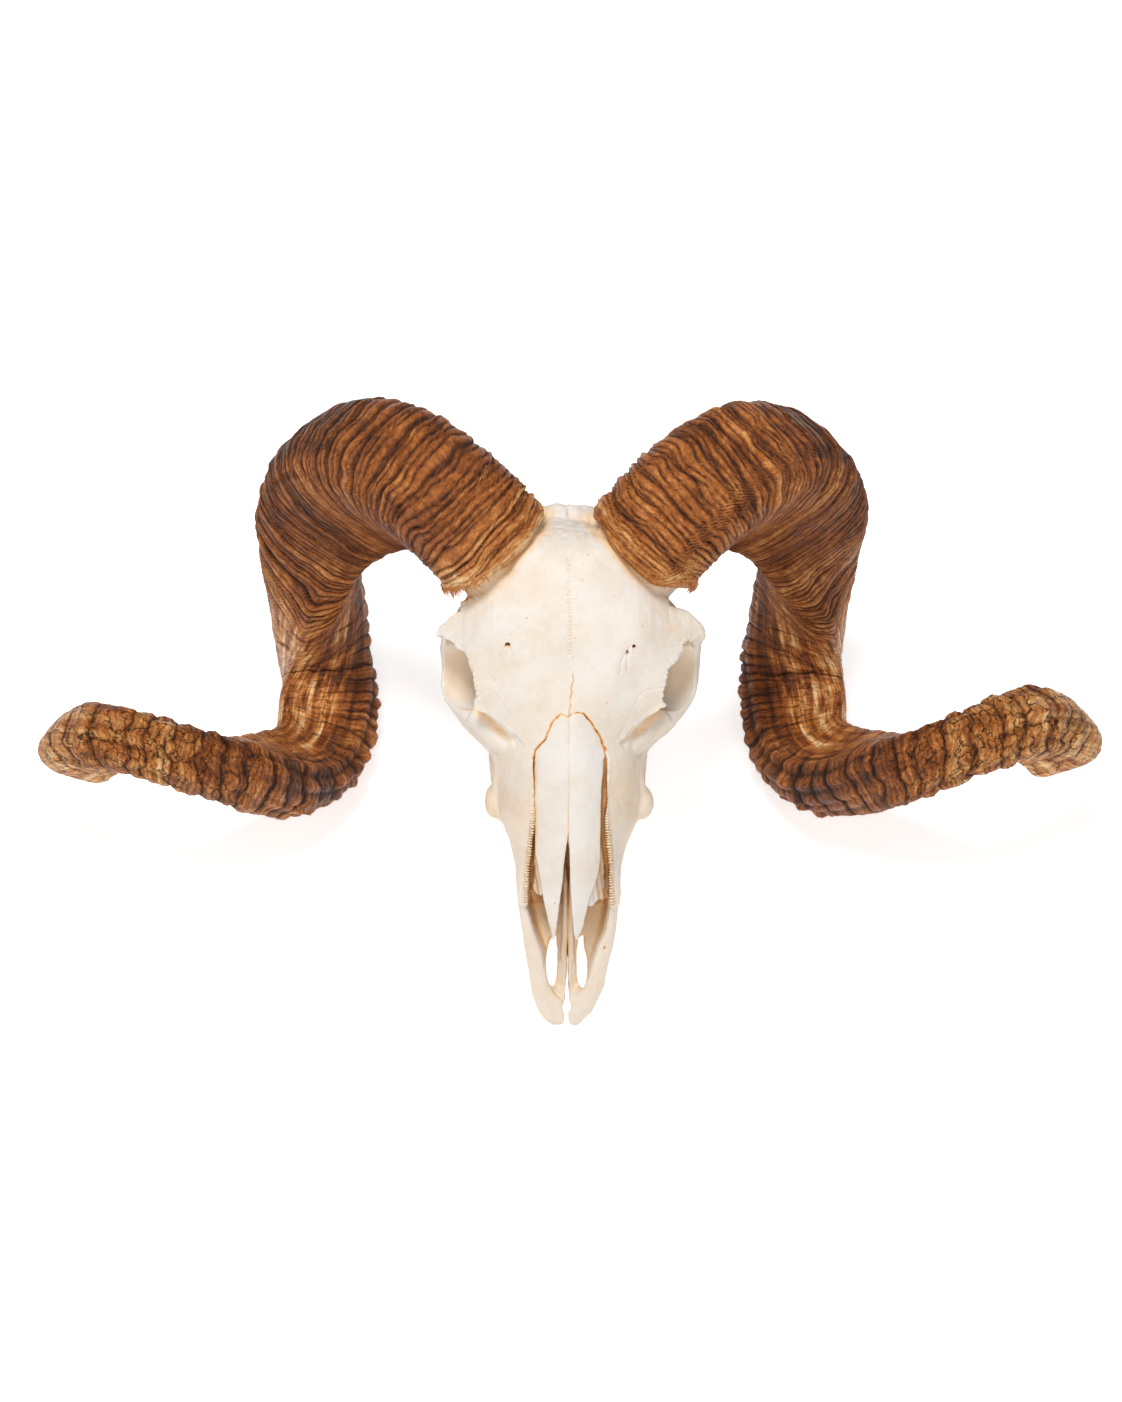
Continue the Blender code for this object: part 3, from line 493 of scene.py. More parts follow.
# %% The horn's surface
def horn_surface(stations, mirror, seed, starts):
    """Rows of points of a horn, and what the material needs to know at each point."""
    length = horn_length(stations)
    share = np.linspace(0, 1, HORN_ROWS)[:, None]
    around = (np.arange(HORN_COLUMNS) / HORN_COLUMNS)[None, :]
    at = starts[None, :] + (1 - starts[None, :]) * share
    mean = np.linspace(0, 1, 1600)
    centre, ahead, front, side, width, depth, _ = horn_frames(stations, mean)
    pick = np.clip(at * (len(mean) - 1), 0, len(mean) - 1.001)
    low = pick.astype(int)
    mix = (pick - low)[..., None]

    def along_line(values):
        values = values if values.ndim == 2 else values[:, None]
        return values[low] * (1 - mix) + values[low + 1] * mix

    outline = closed_curve(HORN_SECTION, HORN_COLUMNS)
    ends = np.clip((at - TIP_START) / (1.0005 - TIP_START), 0, 1)
    round_off = np.sqrt(1 - ends ** 2)[..., None]
    points = (along_line(centre)
              + outline[None, :, :1] * along_line(width) * round_off * along_line(side)
              + outline[None, :, 1:] * along_line(depth) * round_off * along_line(front))
    out = stood_out(points)
    a = at * length
    turn = 2 * math.pi * around + 0 * at
    corner = around * CORNERS
    from_rim = a - a[:1]
    slow = wander(a, around, 42, 5, seed)
    sway = 2.2 * slow + 1.1 * wander(a, around, 13, 12, seed + 1)
    edge = chart([(place, (0, 0, 1, 0, 0, 0, 0, 0, 0, 1, 0)) for place in (0, 1)], at, around)
    kink = wander(a, around, 7, 32, seed + 2)
    knots = wander(a, around, 3.6, 30, seed + 12)
    # The V of the rings on the keel, and a slight slant near the tip.
    vee = np.clip(1 - np.hypot((corner - 4.7) / 3.2, 0.06), 0, 1)
    slant = np.interp(at, (0.16, 0.30, 0.44, 0.51), (0, 10, 38, 3)) * vee
    slant = slant - np.interp(at, (0.66, 0.76), (0, 3)) * np.sin(turn - 0.6)
    a = a - slant
    far = np.interp(at, (0, 0.66, 1), (0, 0, -0.10)) * length
    fine = a + sway + 1.1 * wander(a, around, 6, 24, seed + 3) + kink * (0.5 + 0.4 * edge)
    coarse = a + far + 1.15 * sway + kink * (0.3 + 0.6 * edge) + 1.3 * wander(a, around, 10, 18, seed + 4)
    ring, ring_near, ring_tone = ladder(fine, RING_PITCH, 0.42, seed + 5)
    fold, fold_near, fold_tone = ladder(coarse, FOLD_PITCH, 0.30, seed + 6)
    ring_size = chart(RING_HEIGHT, at, around)
    fold_size = chart(FOLD_HEIGHT, at, around)
    ringed = np.clip(np.maximum(ring_size / 0.42, fold_size / 1.6), 0.05, 1)

    # The beads: the folds of the lowest curl, cut lengthwise into rows.
    beaded = np.exp(-((at - 0.60) / 0.15) ** 4)
    at_side = np.clip((corner - 7.4) / 0.6, 0, 1) + np.clip((1.8 - corner) / 0.6, 0, 1)
    rows = 1 - at_side * (0.5 - 0.5 * np.cos(2 * math.pi * (corner - 9.5) / 1.05))
    # The broken, bark-like lumps of the last stretch.
    barky = np.clip((at - 0.72) / 0.08, 0, 1) * np.clip((0.985 - at) / 0.06, 0, 1)
    plates = 0.5 + 0.5 * np.cos(2 * math.pi * (corner + 0.55 * wander(a, around, 12, 9, seed + 14)) / 1.22)
    fold_shape = fold * (1 - beaded * 0.85 * (1 - rows)) * (1 - barky * 0.75 * (1 - plates) ** 2)
    # The lip of the sheath, in thin layers that stand off the bone.
    lip = np.exp(-(from_rim / 6.5) ** 2)
    layers, layers_near, layers_tone = ladder(from_rim + 0.7 * kink + 0.8 * slow, LAYER_PITCH, 0.4, seed + 13)
    lumps = wander(a + 4 * slow, around, 7.5, 15, seed + 7)
    blocks = np.round(lumps * 2.2) / 2.2
    split = np.zeros(at.shape)
    for place, first, last, deep in SPLITS:
        inside = np.clip((corner - first) / 0.5, 0, 1) * np.clip((last - corner) / 0.5, 0, 1)
        bent = at * length - place * length + 2.0 * kink + 3.0 * slow
        split = np.maximum(split, deep * inside * np.exp(-(bent / 0.75) ** 2))
    # Growth lines that cross the smooth face here and there.
    _, arc_near, arc_tone = ladder(fine, ARC_PITCH, 0.8, seed + 15)
    arcs = np.exp(-(arc_near / 0.42) ** 2) * np.clip(0.35 + 0.8 * arc_tone, 0, 1) * (1 - ringed)
    uneven = 1 + 0.35 * wander(a, around, 5, 18, seed + 11) + 0.35 * knots
    swell = (4.0 * (ring - 0.45) * ring_size * uneven
             + (1.8 * fold_shape - 0.5) * fold_size * (1 + 0.3 * knots)
             + barky * (0.7 * blocks + 0.5 * wander(a, around, 4, 26, seed + 8))
             + 1.2 * wander(a, around, 55, 5, seed + 9)
             + 0.12 * wander(a, around, 90, 110, seed + 10))
    hollow = np.exp(-((corner - 7.5) / 1.2) ** 2) * np.exp(-((at - 0.6) / 0.1) ** 4)
    swell = swell - split - 0.5 * arcs
    swell = swell * (1 - lip) + lip * (2.0 + 2.2 * layers) - 1.6 * np.exp(-(from_rim / 0.9) ** 2)
    tuck = np.exp(-((corner - 3.1) / 1.2) ** 2) * np.exp(-(a / 14) ** 2)
    swell = (swell - 3.5 * hollow - 3.0 * tuck) * np.clip(round_off[..., 0], 0.3, 1)
    points = points + out * swell[..., None]
    if mirror:
        points = points * (-1, 1, 1)
    ring_cut = np.exp(-(ring_near / 0.36) ** 2) * np.clip(ring_size / 0.5, 0, 1.3)
    fold_cut = np.exp(-(fold_near / (0.50 + 0.45 * beaded * at_side)) ** 2) * np.clip(fold_size / 1.3, 0, 1)
    row_cut = beaded * (1 - rows) ** 4 * 0.85 + barky * (1 - plates) ** 6 * 0.4 + split * 1.2 + arcs * 0.8
    facts = {
        # Darkens the colour: real dirt, and painted shade, in the grooves and cracks.
        "groove": np.clip(np.maximum(ring_cut * 0.92, fold_cut) * (1 - lip) + row_cut
                          + 0.5 * lip * np.exp(-(layers_near / 0.30) ** 2), 0, 1),
        "tone": chart(HORN_TONE, at, around) + (0.24 * ring_tone + 0.12 * fold_tone) * ringed + 0.2 * slow
                + lip * (1.4 + 0.9 * layers_tone),
        # Lightens the colour: a painted highlight on the ridge tops.
        "crest": np.clip(ring * 0.5 + fold * 0.5, 0, 1) * ringed + 0.55 * (1 - ringed),
        "bark": barky + 0 * around,
        "ringed": ringed,
        "flow": np.stack([fine, 35 * np.cos(turn), 35 * np.sin(turn)], axis=2),
    }
    return points, facts


def told(mesh, key, values):
    """Stores a number, or a vector, for each point of the mesh."""
    vector = values.ndim == 3
    layer = mesh.attributes.new(key, "FLOAT_VECTOR" if vector else "FLOAT", "POINT")
    layer.data.foreach_set("vector" if vector else "value", values.astype(np.float32).ravel())


def tube_mesh(name, points, facts, mirror):
    """A closed mesh over rows of rings, none of it below the floor, with its facts as attributes."""
    rows, columns = points.shape[:2]
    i, j = np.meshgrid(np.arange(rows - 1), np.arange(columns), indexing="ij")
    near, far = i * columns + j, i * columns + (j + 1) % columns
    quads = np.stack([near, near + columns, far + columns, far], axis=2).reshape(-1, 4)
    if mirror:
        quads = quads[:, ::-1]
    first, last = list(range(columns)), list(range((rows - 1) * columns, rows * columns))
    caps = [first, last[::-1]] if not mirror else [first[::-1], last]
    placed = in_room(points.reshape(-1, 3))
    placed[:, 2] = np.maximum(placed[:, 2], 0)
    mesh = bpy.data.meshes.new(name)
    mesh.from_pydata(placed.tolist(), [], quads.tolist() + caps)
    for key, values in facts.items():
        told(mesh, key, values)
    mesh.shade_smooth()
    return shown(name, mesh)


print("points of each horn:", HORN_ROWS * HORN_COLUMNS)

# %% [markdown]
# Where a sheath has dried away from its bone, its rim frays into stiff fibres. Hair strands would do for a
# picture, but a shared part needs meshes, so each fibre is a thin, tapering, three-sided rod that starts
# on the rim and bends sideways and outward by chance. Most stand at the lower edge, near the eye.

# %% Frayed rims
FIBRES, FIBRE_RADIUS, FIBRE_STEPS = 220, 0.24, 5


def fray(name, points, seed):
    """Loose fibres along the rim of a sheath."""
    rng = np.random.default_rng(seed)
    vertices, faces = [], []
    for _ in range(FIBRES):
        column = int(rng.normal(2.2, 0.8) / CORNERS * HORN_COLUMNS) % HORN_COLUMNS
        row = int(rng.uniform(1, 9))
        root, onward = points[row, column], points[row, column] - points[row + 9, column]
        onward = onward / np.linalg.norm(onward)
        sideways = points[row, (column + 3) % HORN_COLUMNS] - root
        sideways = sideways / np.linalg.norm(sideways)
        outward = np.cross(onward, sideways)
        outward = outward * np.sign(outward @ (root - points[row].mean(axis=0)))
        reach, drift, lift = rng.uniform(1.5, 5), rng.uniform(-3, 3), rng.uniform(0.1, 0.8)
        first = len(vertices)
        for t in np.linspace(0, 1, FIBRE_STEPS):
            rise = 0.7 * min(1, 3 * t) - 0.2 + lift * math.sin(2.4 * t)
            middle = root + onward * reach * t + sideways * drift * t ** 2 + outward * rise
            thick = FIBRE_RADIUS * (1 - 0.75 * t)
            for side in range(3):
                angle = 2 * math.pi * side / 3
                vertices.append(middle + thick * (math.cos(angle) * sideways + math.sin(angle) * outward))
        for ring in range(FIBRE_STEPS - 1):
            for side in range(3):
                near, far = first + 3 * ring + side, first + 3 * ring + (side + 1) % 3
                faces.append((near, far, far + 3, near + 3))
        end = first + 3 * (FIBRE_STEPS - 1)
        faces += [(first + 2, first + 1, first), (end, end + 1, end + 2)]
    mesh = bpy.data.meshes.new(name)
    mesh.from_pydata(in_room(np.array(vertices)).tolist(), [], faces)
    grid = bmesh.new()
    grid.from_mesh(mesh)
    bmesh.ops.recalc_face_normals(grid, faces=grid.faces)
    grid.to_mesh(mesh)
    grid.free()
    # Pale straw fibres, with a little of the ridges' painted highlight (crest).
    for key, value in (("tone", 0.9), ("crest", 0.6), ("ringed", 1.0)):
        told(mesh, key, np.full(len(vertices), value))
    return shown(name, mesh)


print("fibres on each rim:", FIBRES)

# %% [markdown]
# The rim itself is no straight cut. It waves, and it stands back where the horn's edges meet the bone: at
# the eye-side edge, under the keel and at the crown, where the bone between the two horns shows.

# %% Both horns
horns, frays, rim_rings = [], [], []
for name, stations, mirror, seed, notch in (("horn_sheath_left", HORN_LEFT, False, 3, 8.5),
                                            ("horn_sheath_right", HORN_RIGHT, True, 60, 4.5)):
    edge = np.arange(HORN_COLUMNS)[None, :] / HORN_COLUMNS
    ragged = 2.4 * wander(edge * 0, edge, 9, 11, seed + 20) + 1.3 * wander(edge * 0, edge, 9, 46, seed + 21)
    corner = edge[0] * CORNERS
    raised = sum(height * np.exp(-((corner - middle) / wide) ** 2) for height, middle, wide in (
        (notch, 1.9, 0.75), (0.5 * notch, 3.1, 0.7), (7, 4.4, 1.1), (4.5, 8.9, 1.1)))
    starts = np.clip(0.75 * ragged[0] + 2.4 + raised, 0.1, None) / HORN_LENGTH
    points, facts = horn_surface(stations, mirror, seed, starts)
    rim_rings.append(points[0])
    horns.append(tube_mesh(name, points, facts, mirror))
    frays.append(fray(name.replace("sheath", "fray"), points, seed + 30))
    print(name, "points:", len(horns[-1].data.vertices))

# %% [markdown]
# Horn is brown right through, darker where dirt and oil have settled in its grooves, and paler where its
# layers have worn or flaked. The grooves' dark is also painted shade, and the ridge tops are painted
# lighter as a highlight. The colour is a ramp from near black to straw. What moves along the ramp is the tone
# stored on the mesh, the ridge tops, streaks that run with the rings, slow blotches, and on the smooth face
# strips that run along the horn. The place that the noise reads is the distance along the horn with a turn
# about it, so every streak bends as its ring does.

# %% Horn material
horn_paint = Paint("horn")
flow = horn_paint.reading("flow", output=1)
groove, tone, crest = (horn_paint.reading(key) for key in ("groove", "tone", "crest"))
bark, ringed = horn_paint.reading("bark"), horn_paint.reading("ringed")
streak = horn_paint.streaks(flow, (0.9, 0.28, 0.28), 5, 0.65)
fibre = horn_paint.streaks(flow, (0.05, 0.9, 0.9), 4, 0.6)
blotch = horn_paint.streaks(flow, (0.045, 0.06, 0.06), 4, 0.55)
lines = horn_paint.streaks(flow, (0.42, 0.085, 0.085), 3, 0.55)
strips = horn_paint.streaks(flow, (0.025, 0.22, 0.22), 3, 0.6)
smooth = 1 - ringed
place = 0.445 + tone * 0.22 + ((streak - 0.5) * 0.85 + (lines - 0.5) * 0.3) * ringed
place = place + (blotch - 0.5) * (0.7 + smooth * 0.6) + (strips - 0.5) * smooth * 2.1
# Painted highlight: the ridge tops (crest) sit higher on the ramp.
place = place + (crest - 0.5) * 0.58 + (fibre - 0.5) * (0.2 + smooth * 0.7)
HORN_RAMP = ((0.0, (34, 18, 9)), (0.20, (74, 39, 17)), (0.42, (128, 68, 25)),
             (0.62, (172, 101, 44)), (0.82, (210, 147, 84)), (1.0, (236, 196, 144)))
ground = horn_paint.ramp(place, HORN_RAMP)
broken = horn_paint.between(horn_paint.streaks(flow, (0.20, 0.10, 0.10), 3, 0.6), 0.36, 0.60)
# Real dirt and painted shade: the grooves and cracks turn near black.
groove_dirt_and_shade = groove ** 1.1 * (0.6 + broken * 0.4)
# The cracks of the bark: edges of cells whose places are shaken, so that none runs straight.
bark_place = horn_paint.stretched(flow, (0.16, 0.06, 0.06))
shake = horn_paint.stretched(horn_paint.noise(bark_place, 2.6, 3, 0.6, output=1), (0.8, 0.8, 0.8))
bark_place = horn_paint.add("ShaderNodeVectorMath", {"operation": "ADD"}, {0: bark_place, 1: shake})
cells = horn_paint.add("ShaderNodeTexVoronoi", {"feature": "DISTANCE_TO_EDGE"},
                       {"Vector": bark_place, "Scale": 1.0})
cracks = horn_paint.between(cells, 0.04, 0.0) * (bark + smooth * 0.35)
ground = horn_paint.blend(groove_dirt_and_shade * 0.92, ground, srgb(30, 15, 8))
ground = horn_paint.blend(cracks * 0.85, ground, srgb(44, 24, 13))
rough = 0.32 + groove * 0.45 + (streak - 0.5) * 0.5
horn_paint.shader.inputs["Specular IOR Level"].default_value = 0.26
height = (streak * 2.0 + lines * 0.8) * ringed + fibre * 0.7 - cracks * 2.2
horn_paint.finish(ground, rough, height, 0.9, 0.0012)
for horn in horns + frays:
    horn.data.materials.append(horn_paint.material)
print("horn material nodes:", len(horn_paint.nodes))

# %% [markdown]
# Bone has no seams between wall, roof and rod: it grows as one skin. So the skull starts as simple closed
# shapes that overlap, and a voxel remesh, which samples the union on a fine grid, fuses them into one skin
# whose joins are then softened.

# %% Makers of closed shapes
def mesh_object(name, points, faces):
    """A mesh from skull millimetres, its faces turned outward."""
    mesh = bpy.data.meshes.new(name)
    mesh.from_pydata((np.asarray(points, float) * MM).tolist(), [], faces)
    grid = bmesh.new()
    grid.from_mesh(mesh)
    bmesh.ops.recalc_face_normals(grid, faces=grid.faces)
    grid.to_mesh(mesh)
    grid.free()
    return shown(name, mesh)


def loft(name, rings):
    """A closed skin over rings of equally many points."""
    rings = np.asarray(rings, float)
    count, around = rings.shape[:2]
    faces = [list(range(around))[::-1], list(range((count - 1) * around, count * around))]
    for i in range(count - 1):
        for j in range(around):
            a, b = i * around + j, i * around + (j + 1) % around
            faces.append([a, b, b + around, a + around])
    return mesh_object(name, rings.reshape(-1, 3), faces)


def bar(name, path, sizes, count=24, around=16, up=(0, 0, 1)):
    """A rod of oval section: sizes are its half width and half height at each path point."""
    line = open_curve(path, count)
    steps = np.arange(len(sizes))
    size = spline(steps, np.array(sizes, float), np.linspace(0, steps[-1], count))
    ahead = np.gradient(line, axis=0)
    ahead /= np.linalg.norm(ahead, axis=1)[:, None]
    side = np.cross(ahead, np.array(up, float))
    side /= np.linalg.norm(side, axis=1)[:, None]
    over = np.cross(side, ahead)
    turn = np.arange(around) * 2 * math.pi / around
    rings = [p + np.outer(np.cos(turn), s) * w + np.outer(np.sin(turn), o) * h
             for p, s, o, (w, h) in zip(line, side, over, size)]
    return loft(name, rings)


def ball(name, centre, radii, tilt=0.0):
    """An ellipsoid, turned by tilt degrees about the sideways axis."""
    grid = bmesh.new()
    bmesh.ops.create_uvsphere(grid, u_segments=36, v_segments=24, radius=1)
    shape = (Matrix.Translation(Vector(centre)) @ Matrix.Rotation(math.radians(tilt), 4, "X")
             @ Matrix.Diagonal((*radii, 1)))
    bmesh.ops.transform(grid, matrix=Matrix.Scale(MM, 4) @ shape, verts=grid.verts)
    mesh = bpy.data.meshes.new(name)
    grid.to_mesh(mesh)
    grid.free()
    return shown(name, mesh)


def both_sides(obj, narrower=1.0):
    """The shape and its mirror image across the midline, which may lie nearer to it."""
    grid = bmesh.new()
    grid.from_mesh(obj.data)
    bmesh.ops.transform(grid, matrix=Matrix.Diagonal((-narrower, 1, 1, 1)), verts=grid.verts)
    bmesh.ops.reverse_faces(grid, faces=grid.faces)
    mesh = bpy.data.meshes.new(obj.name + "_other")
    grid.to_mesh(mesh)
    grid.free()
    return [obj, shown(mesh.name, mesh)]


def within(loop, points):
    """Which points lie inside a closed outline."""
    loop = np.asarray(loop, float)
    inside = np.zeros(len(points), bool)
    for (ax, ay), (bx, by) in zip(loop, np.roll(loop, -1, axis=0)):
        if ay != by:
            spans = (ay > points[:, 1]) != (by > points[:, 1])
            inside ^= spans & (points[:, 0] < ax + (points[:, 1] - ay) * (bx - ax) / (by - ay))
    return inside


def distance_to(line, points, closed=False):
    """How far each point of the plane lies from a line of straight runs."""
    line = np.asarray(line, float)
    ends = np.roll(line, -1, axis=0) if closed else line[1:]
    nearest = np.full(len(points), 1e9)
    for a, b in zip(line, ends):
        run = b - a
        share = np.clip(((points - a) @ run) / max(run @ run, 1e-9), 0, 1)
        gap = points - a - share[:, None] * run
        nearest = np.minimum(nearest, np.hypot(gap[:, 0], gap[:, 1]))
    return nearest


def refined(loop, step):
    """The outline with points added so that no run is longer than the step."""
    loop = np.asarray(loop, float)
    made = []
    for a, b in zip(loop, np.roll(loop, -1, axis=0)):
        parts = max(1, int(np.ceil(np.linalg.norm(b - a) / step)))
        made += [a + (b - a) * k / parts for k in range(parts)]
    return made


def plate(name, outline, top, bottom, step=1.6, holes=()):
    """A solid between two surfaces, over an outline seen from the front, with holes."""
    loops = [refined(loop, step) for loop in (outline, *holes)]
    low, high = np.min(loops[0], axis=0), np.max(loops[0], axis=0)
    grid = np.stack(np.meshgrid(np.arange(low[0], high[0], step), np.arange(low[1], high[1], step)),
                    axis=-1).reshape(-1, 2)
    keep = within(loops[0], grid)
    for loop in loops[1:]:
        keep &= ~within(loop, grid)
    for loop in loops:
        keep &= distance_to(loop, grid, True) > step * 0.5
    places, runs = [], []
    for loop in loops:
        first = len(places)
        places += [tuple(p) for p in loop]
        runs += [(first + k, first + (k + 1) % len(loop)) for k in range(len(loop))]
    places += [tuple(p) for p in grid[keep]]
    found = delaunay_2d_cdt([Vector(p) for p in places], runs, [], 0, 1e-5)
    flat = np.array([tuple(p) for p in found[0]])
    faces = np.array([f for f in found[2] if len(f) == 3])
    middle = flat[faces].mean(1)
    inside = within(loops[0], middle)
    for loop in loops[1:]:
        inside &= ~within(loop, middle)
    faces = faces[inside]
    count = len(flat)
    points = np.concatenate([np.column_stack([flat, top(flat)]), np.column_stack([flat, bottom(flat)])])
    half = {(a, b) for f in faces for a, b in zip(f, np.roll(f, -1))}
    walls = [(a, b, b + count, a + count) for a, b in half if (b, a) not in half]
    everything = faces.tolist() + (faces[:, ::-1] + count).tolist() + [list(map(int, w)) for w in walls]
    obj = mesh_object(name, points, everything)
    tidied = bmesh.new()
    tidied.from_mesh(obj.data)
    loose = [v for v in tidied.verts if not v.link_faces]
    bmesh.ops.delete(tidied, geom=loose, context="VERTS")
    tidied.to_mesh(obj.data)
    tidied.free()
    return obj


RELIEF_EASE = 4.0


class Relief:
    """A thin sheet bent near measured heights, as spring steel would settle: more ease, more smoothness."""

    def __init__(self, heights, mirrored=True):
        rows = [tuple(r) for r in heights]
        if mirrored:
            rows += [(-u, v, w) for u, v, w in rows if u]
        rows = np.array(rows, float)
        self.places = rows[:, :2]
        n = len(rows)
        system = np.zeros((n + 3, n + 3))
        system[:n, :n] = self.pull(self.places) + np.eye(n) * RELIEF_EASE
        system[:n, n:] = system[n:, :n].T
        system[:n, n] = 1
        system[:n, n + 1:] = self.places
        system[n:, :n] = system[:n, n:].T
        self.weights = np.linalg.solve(system, np.concatenate([rows[:, 2], np.zeros(3)]))

    def pull(self, points):
        square = ((points[:, None, :] - self.places[None]) ** 2).sum(2)
        return 0.5 * square * np.log(square + 1e-9)

    def __call__(self, points):
        points = np.asarray(points, float)[:, :2]
        n = len(self.places)
        return (self.pull(points) @ self.weights[:n] + self.weights[n]
                + points @ self.weights[n + 1:])


def bake(obj):
    """Applies the object's modifiers."""
    graph = bpy.context.evaluated_depsgraph_get()
    mesh = bpy.data.meshes.new_from_object(obj.evaluated_get(graph))
    obj.modifiers.clear()
    obj.data = mesh
    return obj


def joined(name, pieces):
    """One object with the meshes of all the pieces, which are then removed."""
    grid = bmesh.new()
    for piece in pieces:
        grid.from_mesh(piece.data)
        bpy.data.objects.remove(piece, do_unlink=True)
    mesh = bpy.data.meshes.new(name)
    grid.to_mesh(mesh)
    grid.free()
    return shown(name, mesh)


def fused(name, pieces, voxel, rounds):
    """The pieces grown into one skin, with their joins softened."""
    obj = joined(name, pieces)
    remesh = obj.modifiers.new("fuse", "REMESH")
    remesh.mode, remesh.voxel_size = "VOXEL", voxel * MM
    soften = obj.modifiers.new("soften", "SMOOTH")
    soften.factor, soften.iterations = 0.5, rounds
    return bake(obj)


def carved(obj, cutters):
    """The object less the union of the cutters."""
    tool = fused(obj.name + "_cutters", cutters, 1.0, 1)
    cut = obj.modifiers.new("carve", "BOOLEAN")
    cut.operation, cut.solver, cut.object = "DIFFERENCE", "MANIFOLD", tool
    bpy.context.view_layer.update()
    bake(obj)
    bpy.data.objects.remove(tool, do_unlink=True)
    return obj


print("shape makers ready")

# %% [markdown]
# Seen from the front, a ram's forehead is one broad shield of bone: a dome between the horns that runs out
# into a brow over each eye and narrows to the root of the nose. Its outline was measured on each side,
# because the brow's edge is ragged and no two sides match. Its height comes from a few dozen soundings with
# a smooth sheet bent over them.

# %% The forehead
SHIELD = (
    (-30, 50), (-36, 29), (-46.6, 20.1), (-57.5, 15.7), (-57.3, 11), (-63, 7.1), (-68.7, 2.3), (-70.4, -1.3),
    (-69.2, -4.3), (-66.4, -3.8), (-61.2, -7.1), (-57.3, -10.5), (-54.4, -11.8), (-53, -16.5),
    (-51.1, -20.4), (-50.2, -25.2), (-49.2, -30), (-48.6, -34.7), (-50.2, -41.4), (-46.8, -42.4),
    (-41.1, -44.2), (-36.3, -47.9), (-32.4, -51.8), (-27.7, -54.7), (-24, -59.4), (-22, -64.1),
    (-20.2, -67.4), (-17.6, -62.6), (-12.1, -56.7), (-8.9, -48.4), (-4.3, -43.6), (-0.8, -45.1),
    (0, -45.1), (2.4, -43.3), (7.1, -43), (11.6, -48), (16.2, -55.8), (18.7, -62.8), (20.6, -67.2),
    (22.5, -66.2), (23.6, -62.3), (26.5, -57.6), (30.4, -53.7), (34, -50), (38.8, -46.1), (46.4, -42.4),
    (51.3, -39.5), (49.2, -36.7), (50.3, -30), (51.7, -24.4), (52.2, -20.4), (57.9, -14.7), (59.7, -10),
    (60.2, -6), (62.6, -4.7), (67.4, -4.7), (70.2, -5.3), (71.7, -2.4), (70.2, 2.3), (62.6, 10),
    (53.1, 13.8), (53.4, 17), (47.7, 20.1), (37.2, 29), (30, 50), (14, 60), (-14, 60),
)
FOREHEAD = Relief((
    (0, 60, -30), (0, 52, -13), (0, 42, -4), (0, 32, 0.5), (0, 12, 2.5), (0, -12, 1), (0, -30, -1.5),
    (0, -46, -3.8), (0, -58, -3.6), (0, -68, -3.4), (16, 60, -32), (20, 52, -17), (26, 40, -9),
    (30, 30, -5), (20, 12, 1.4), (20, -12, 0), (20, -30, -2.6), (17, -46, -6.2), (14, -58, -6.3),
    (17, -68, -8.6), (36, 18, -3.5), (40, 8, -2.5), (42, -2, -3), (40, -12, -4), (36, -25, -6),
    (32, -38, -9), (26, -50, -11.5), (22, -62, -11), (50, 18, -11), (56, 13, -15), (62, 7, -16),
    (69, 0, -20), (68, -4, -20.5), (60, -6, -15), (53, -14, -10.5), (50, -22, -9), (48, -32, -10),
    (49, -39, -13), (42, -43, -15), (36, -48, -16), (30, -54, -16), (24, -60, -14),
))
ragged = np.random.default_rng(11)
edge = np.array(refined(SHIELD, 1.3))
edge += ragged.normal(0, 0.28, edge.shape) * (np.abs(edge[:, :1]) > 22) * (edge[:, 1:] < 2)
SHIELD_THICK = 6.5
shield = plate("shield", edge, FOREHEAD, lambda p: FOREHEAD(p) - SHIELD_THICK, 1.6)
print("shield faces:", len(shield.data.polygons))

# %% [markdown]
# Behind and below the shield is the box of the head, drawn as cross-sections from the nape to the front of
# the palate, as a boat is drawn by its frames. Rods and balls add the eye's rim, the cheek, the ear and the
# knobs of the neck joint.

# %% The head's frame
# v, the top of the midline, the half width and height of crown, side and sole, the sole's midline
HEAD = (
    (64, -42, (14, -46), (23, -62), (15, -84), -86),
    (60, -33, (18, -38), (29, -62), (20, -92), -94),
    (52, -16, (26, -21), (37, -58), (24, -94), -97),
    (32, -3, (34, -8), (41, -52), (24, -88), -92),
    (12, -2, (42, -6), (40, -45), (20, -80), -84),
    (-12, -3, (41, -7), (36, -40), (19, -76), -79),
    (-30, -6, (35, -10), (38, -40), (26, -78), -76),
    (-42, -10, (29, -17), (41, -42), (30, -83), -78),
    (-52, -11, (25, -18), (41, -47), (32, -83), -80),
    (-64, -7, (22, -11), (41.5, -48), (32, -82), -78),
    (-80, -6, (20, -8.5), (40.5, -50), (30, -78), -75),
    (-95, -8, (19.6, -10.5), (38.5, -50), (27, -73), -70),
    (-105, -10, (20, -13), (34, -45), (24, -69), -66),
    (-120, -14, (21.8, -17.5), (28.6, -42), (21, -62), -60),
    (-136, -18, (23.2, -22.5), (26.9, -37), (18.8, -55), -54),
    (-145, -24, (23.8, -28), (26.2, -38), (17.5, -53), -52),
)


def head_loft():
    """The skin over the head's frames."""
    rings = []
    for v, top, crown, side, sole, floor_height in HEAD:
        half = [(0, top), crown, side, sole, (0, floor_height)]
        loop = half + [(-a, b) for a, b in half[3:0:-1]]
        rings.append([(a, v, b) for a, b in closed_curve(loop, 72)])
    rings = np.array(rings, float)
    steps = -rings[:, 0, 1]
    flat = spline(steps, rings.reshape(len(rings), -1), np.linspace(steps[0], steps[-1], 120))
    return loft("head", flat.reshape(120, 72, 3))


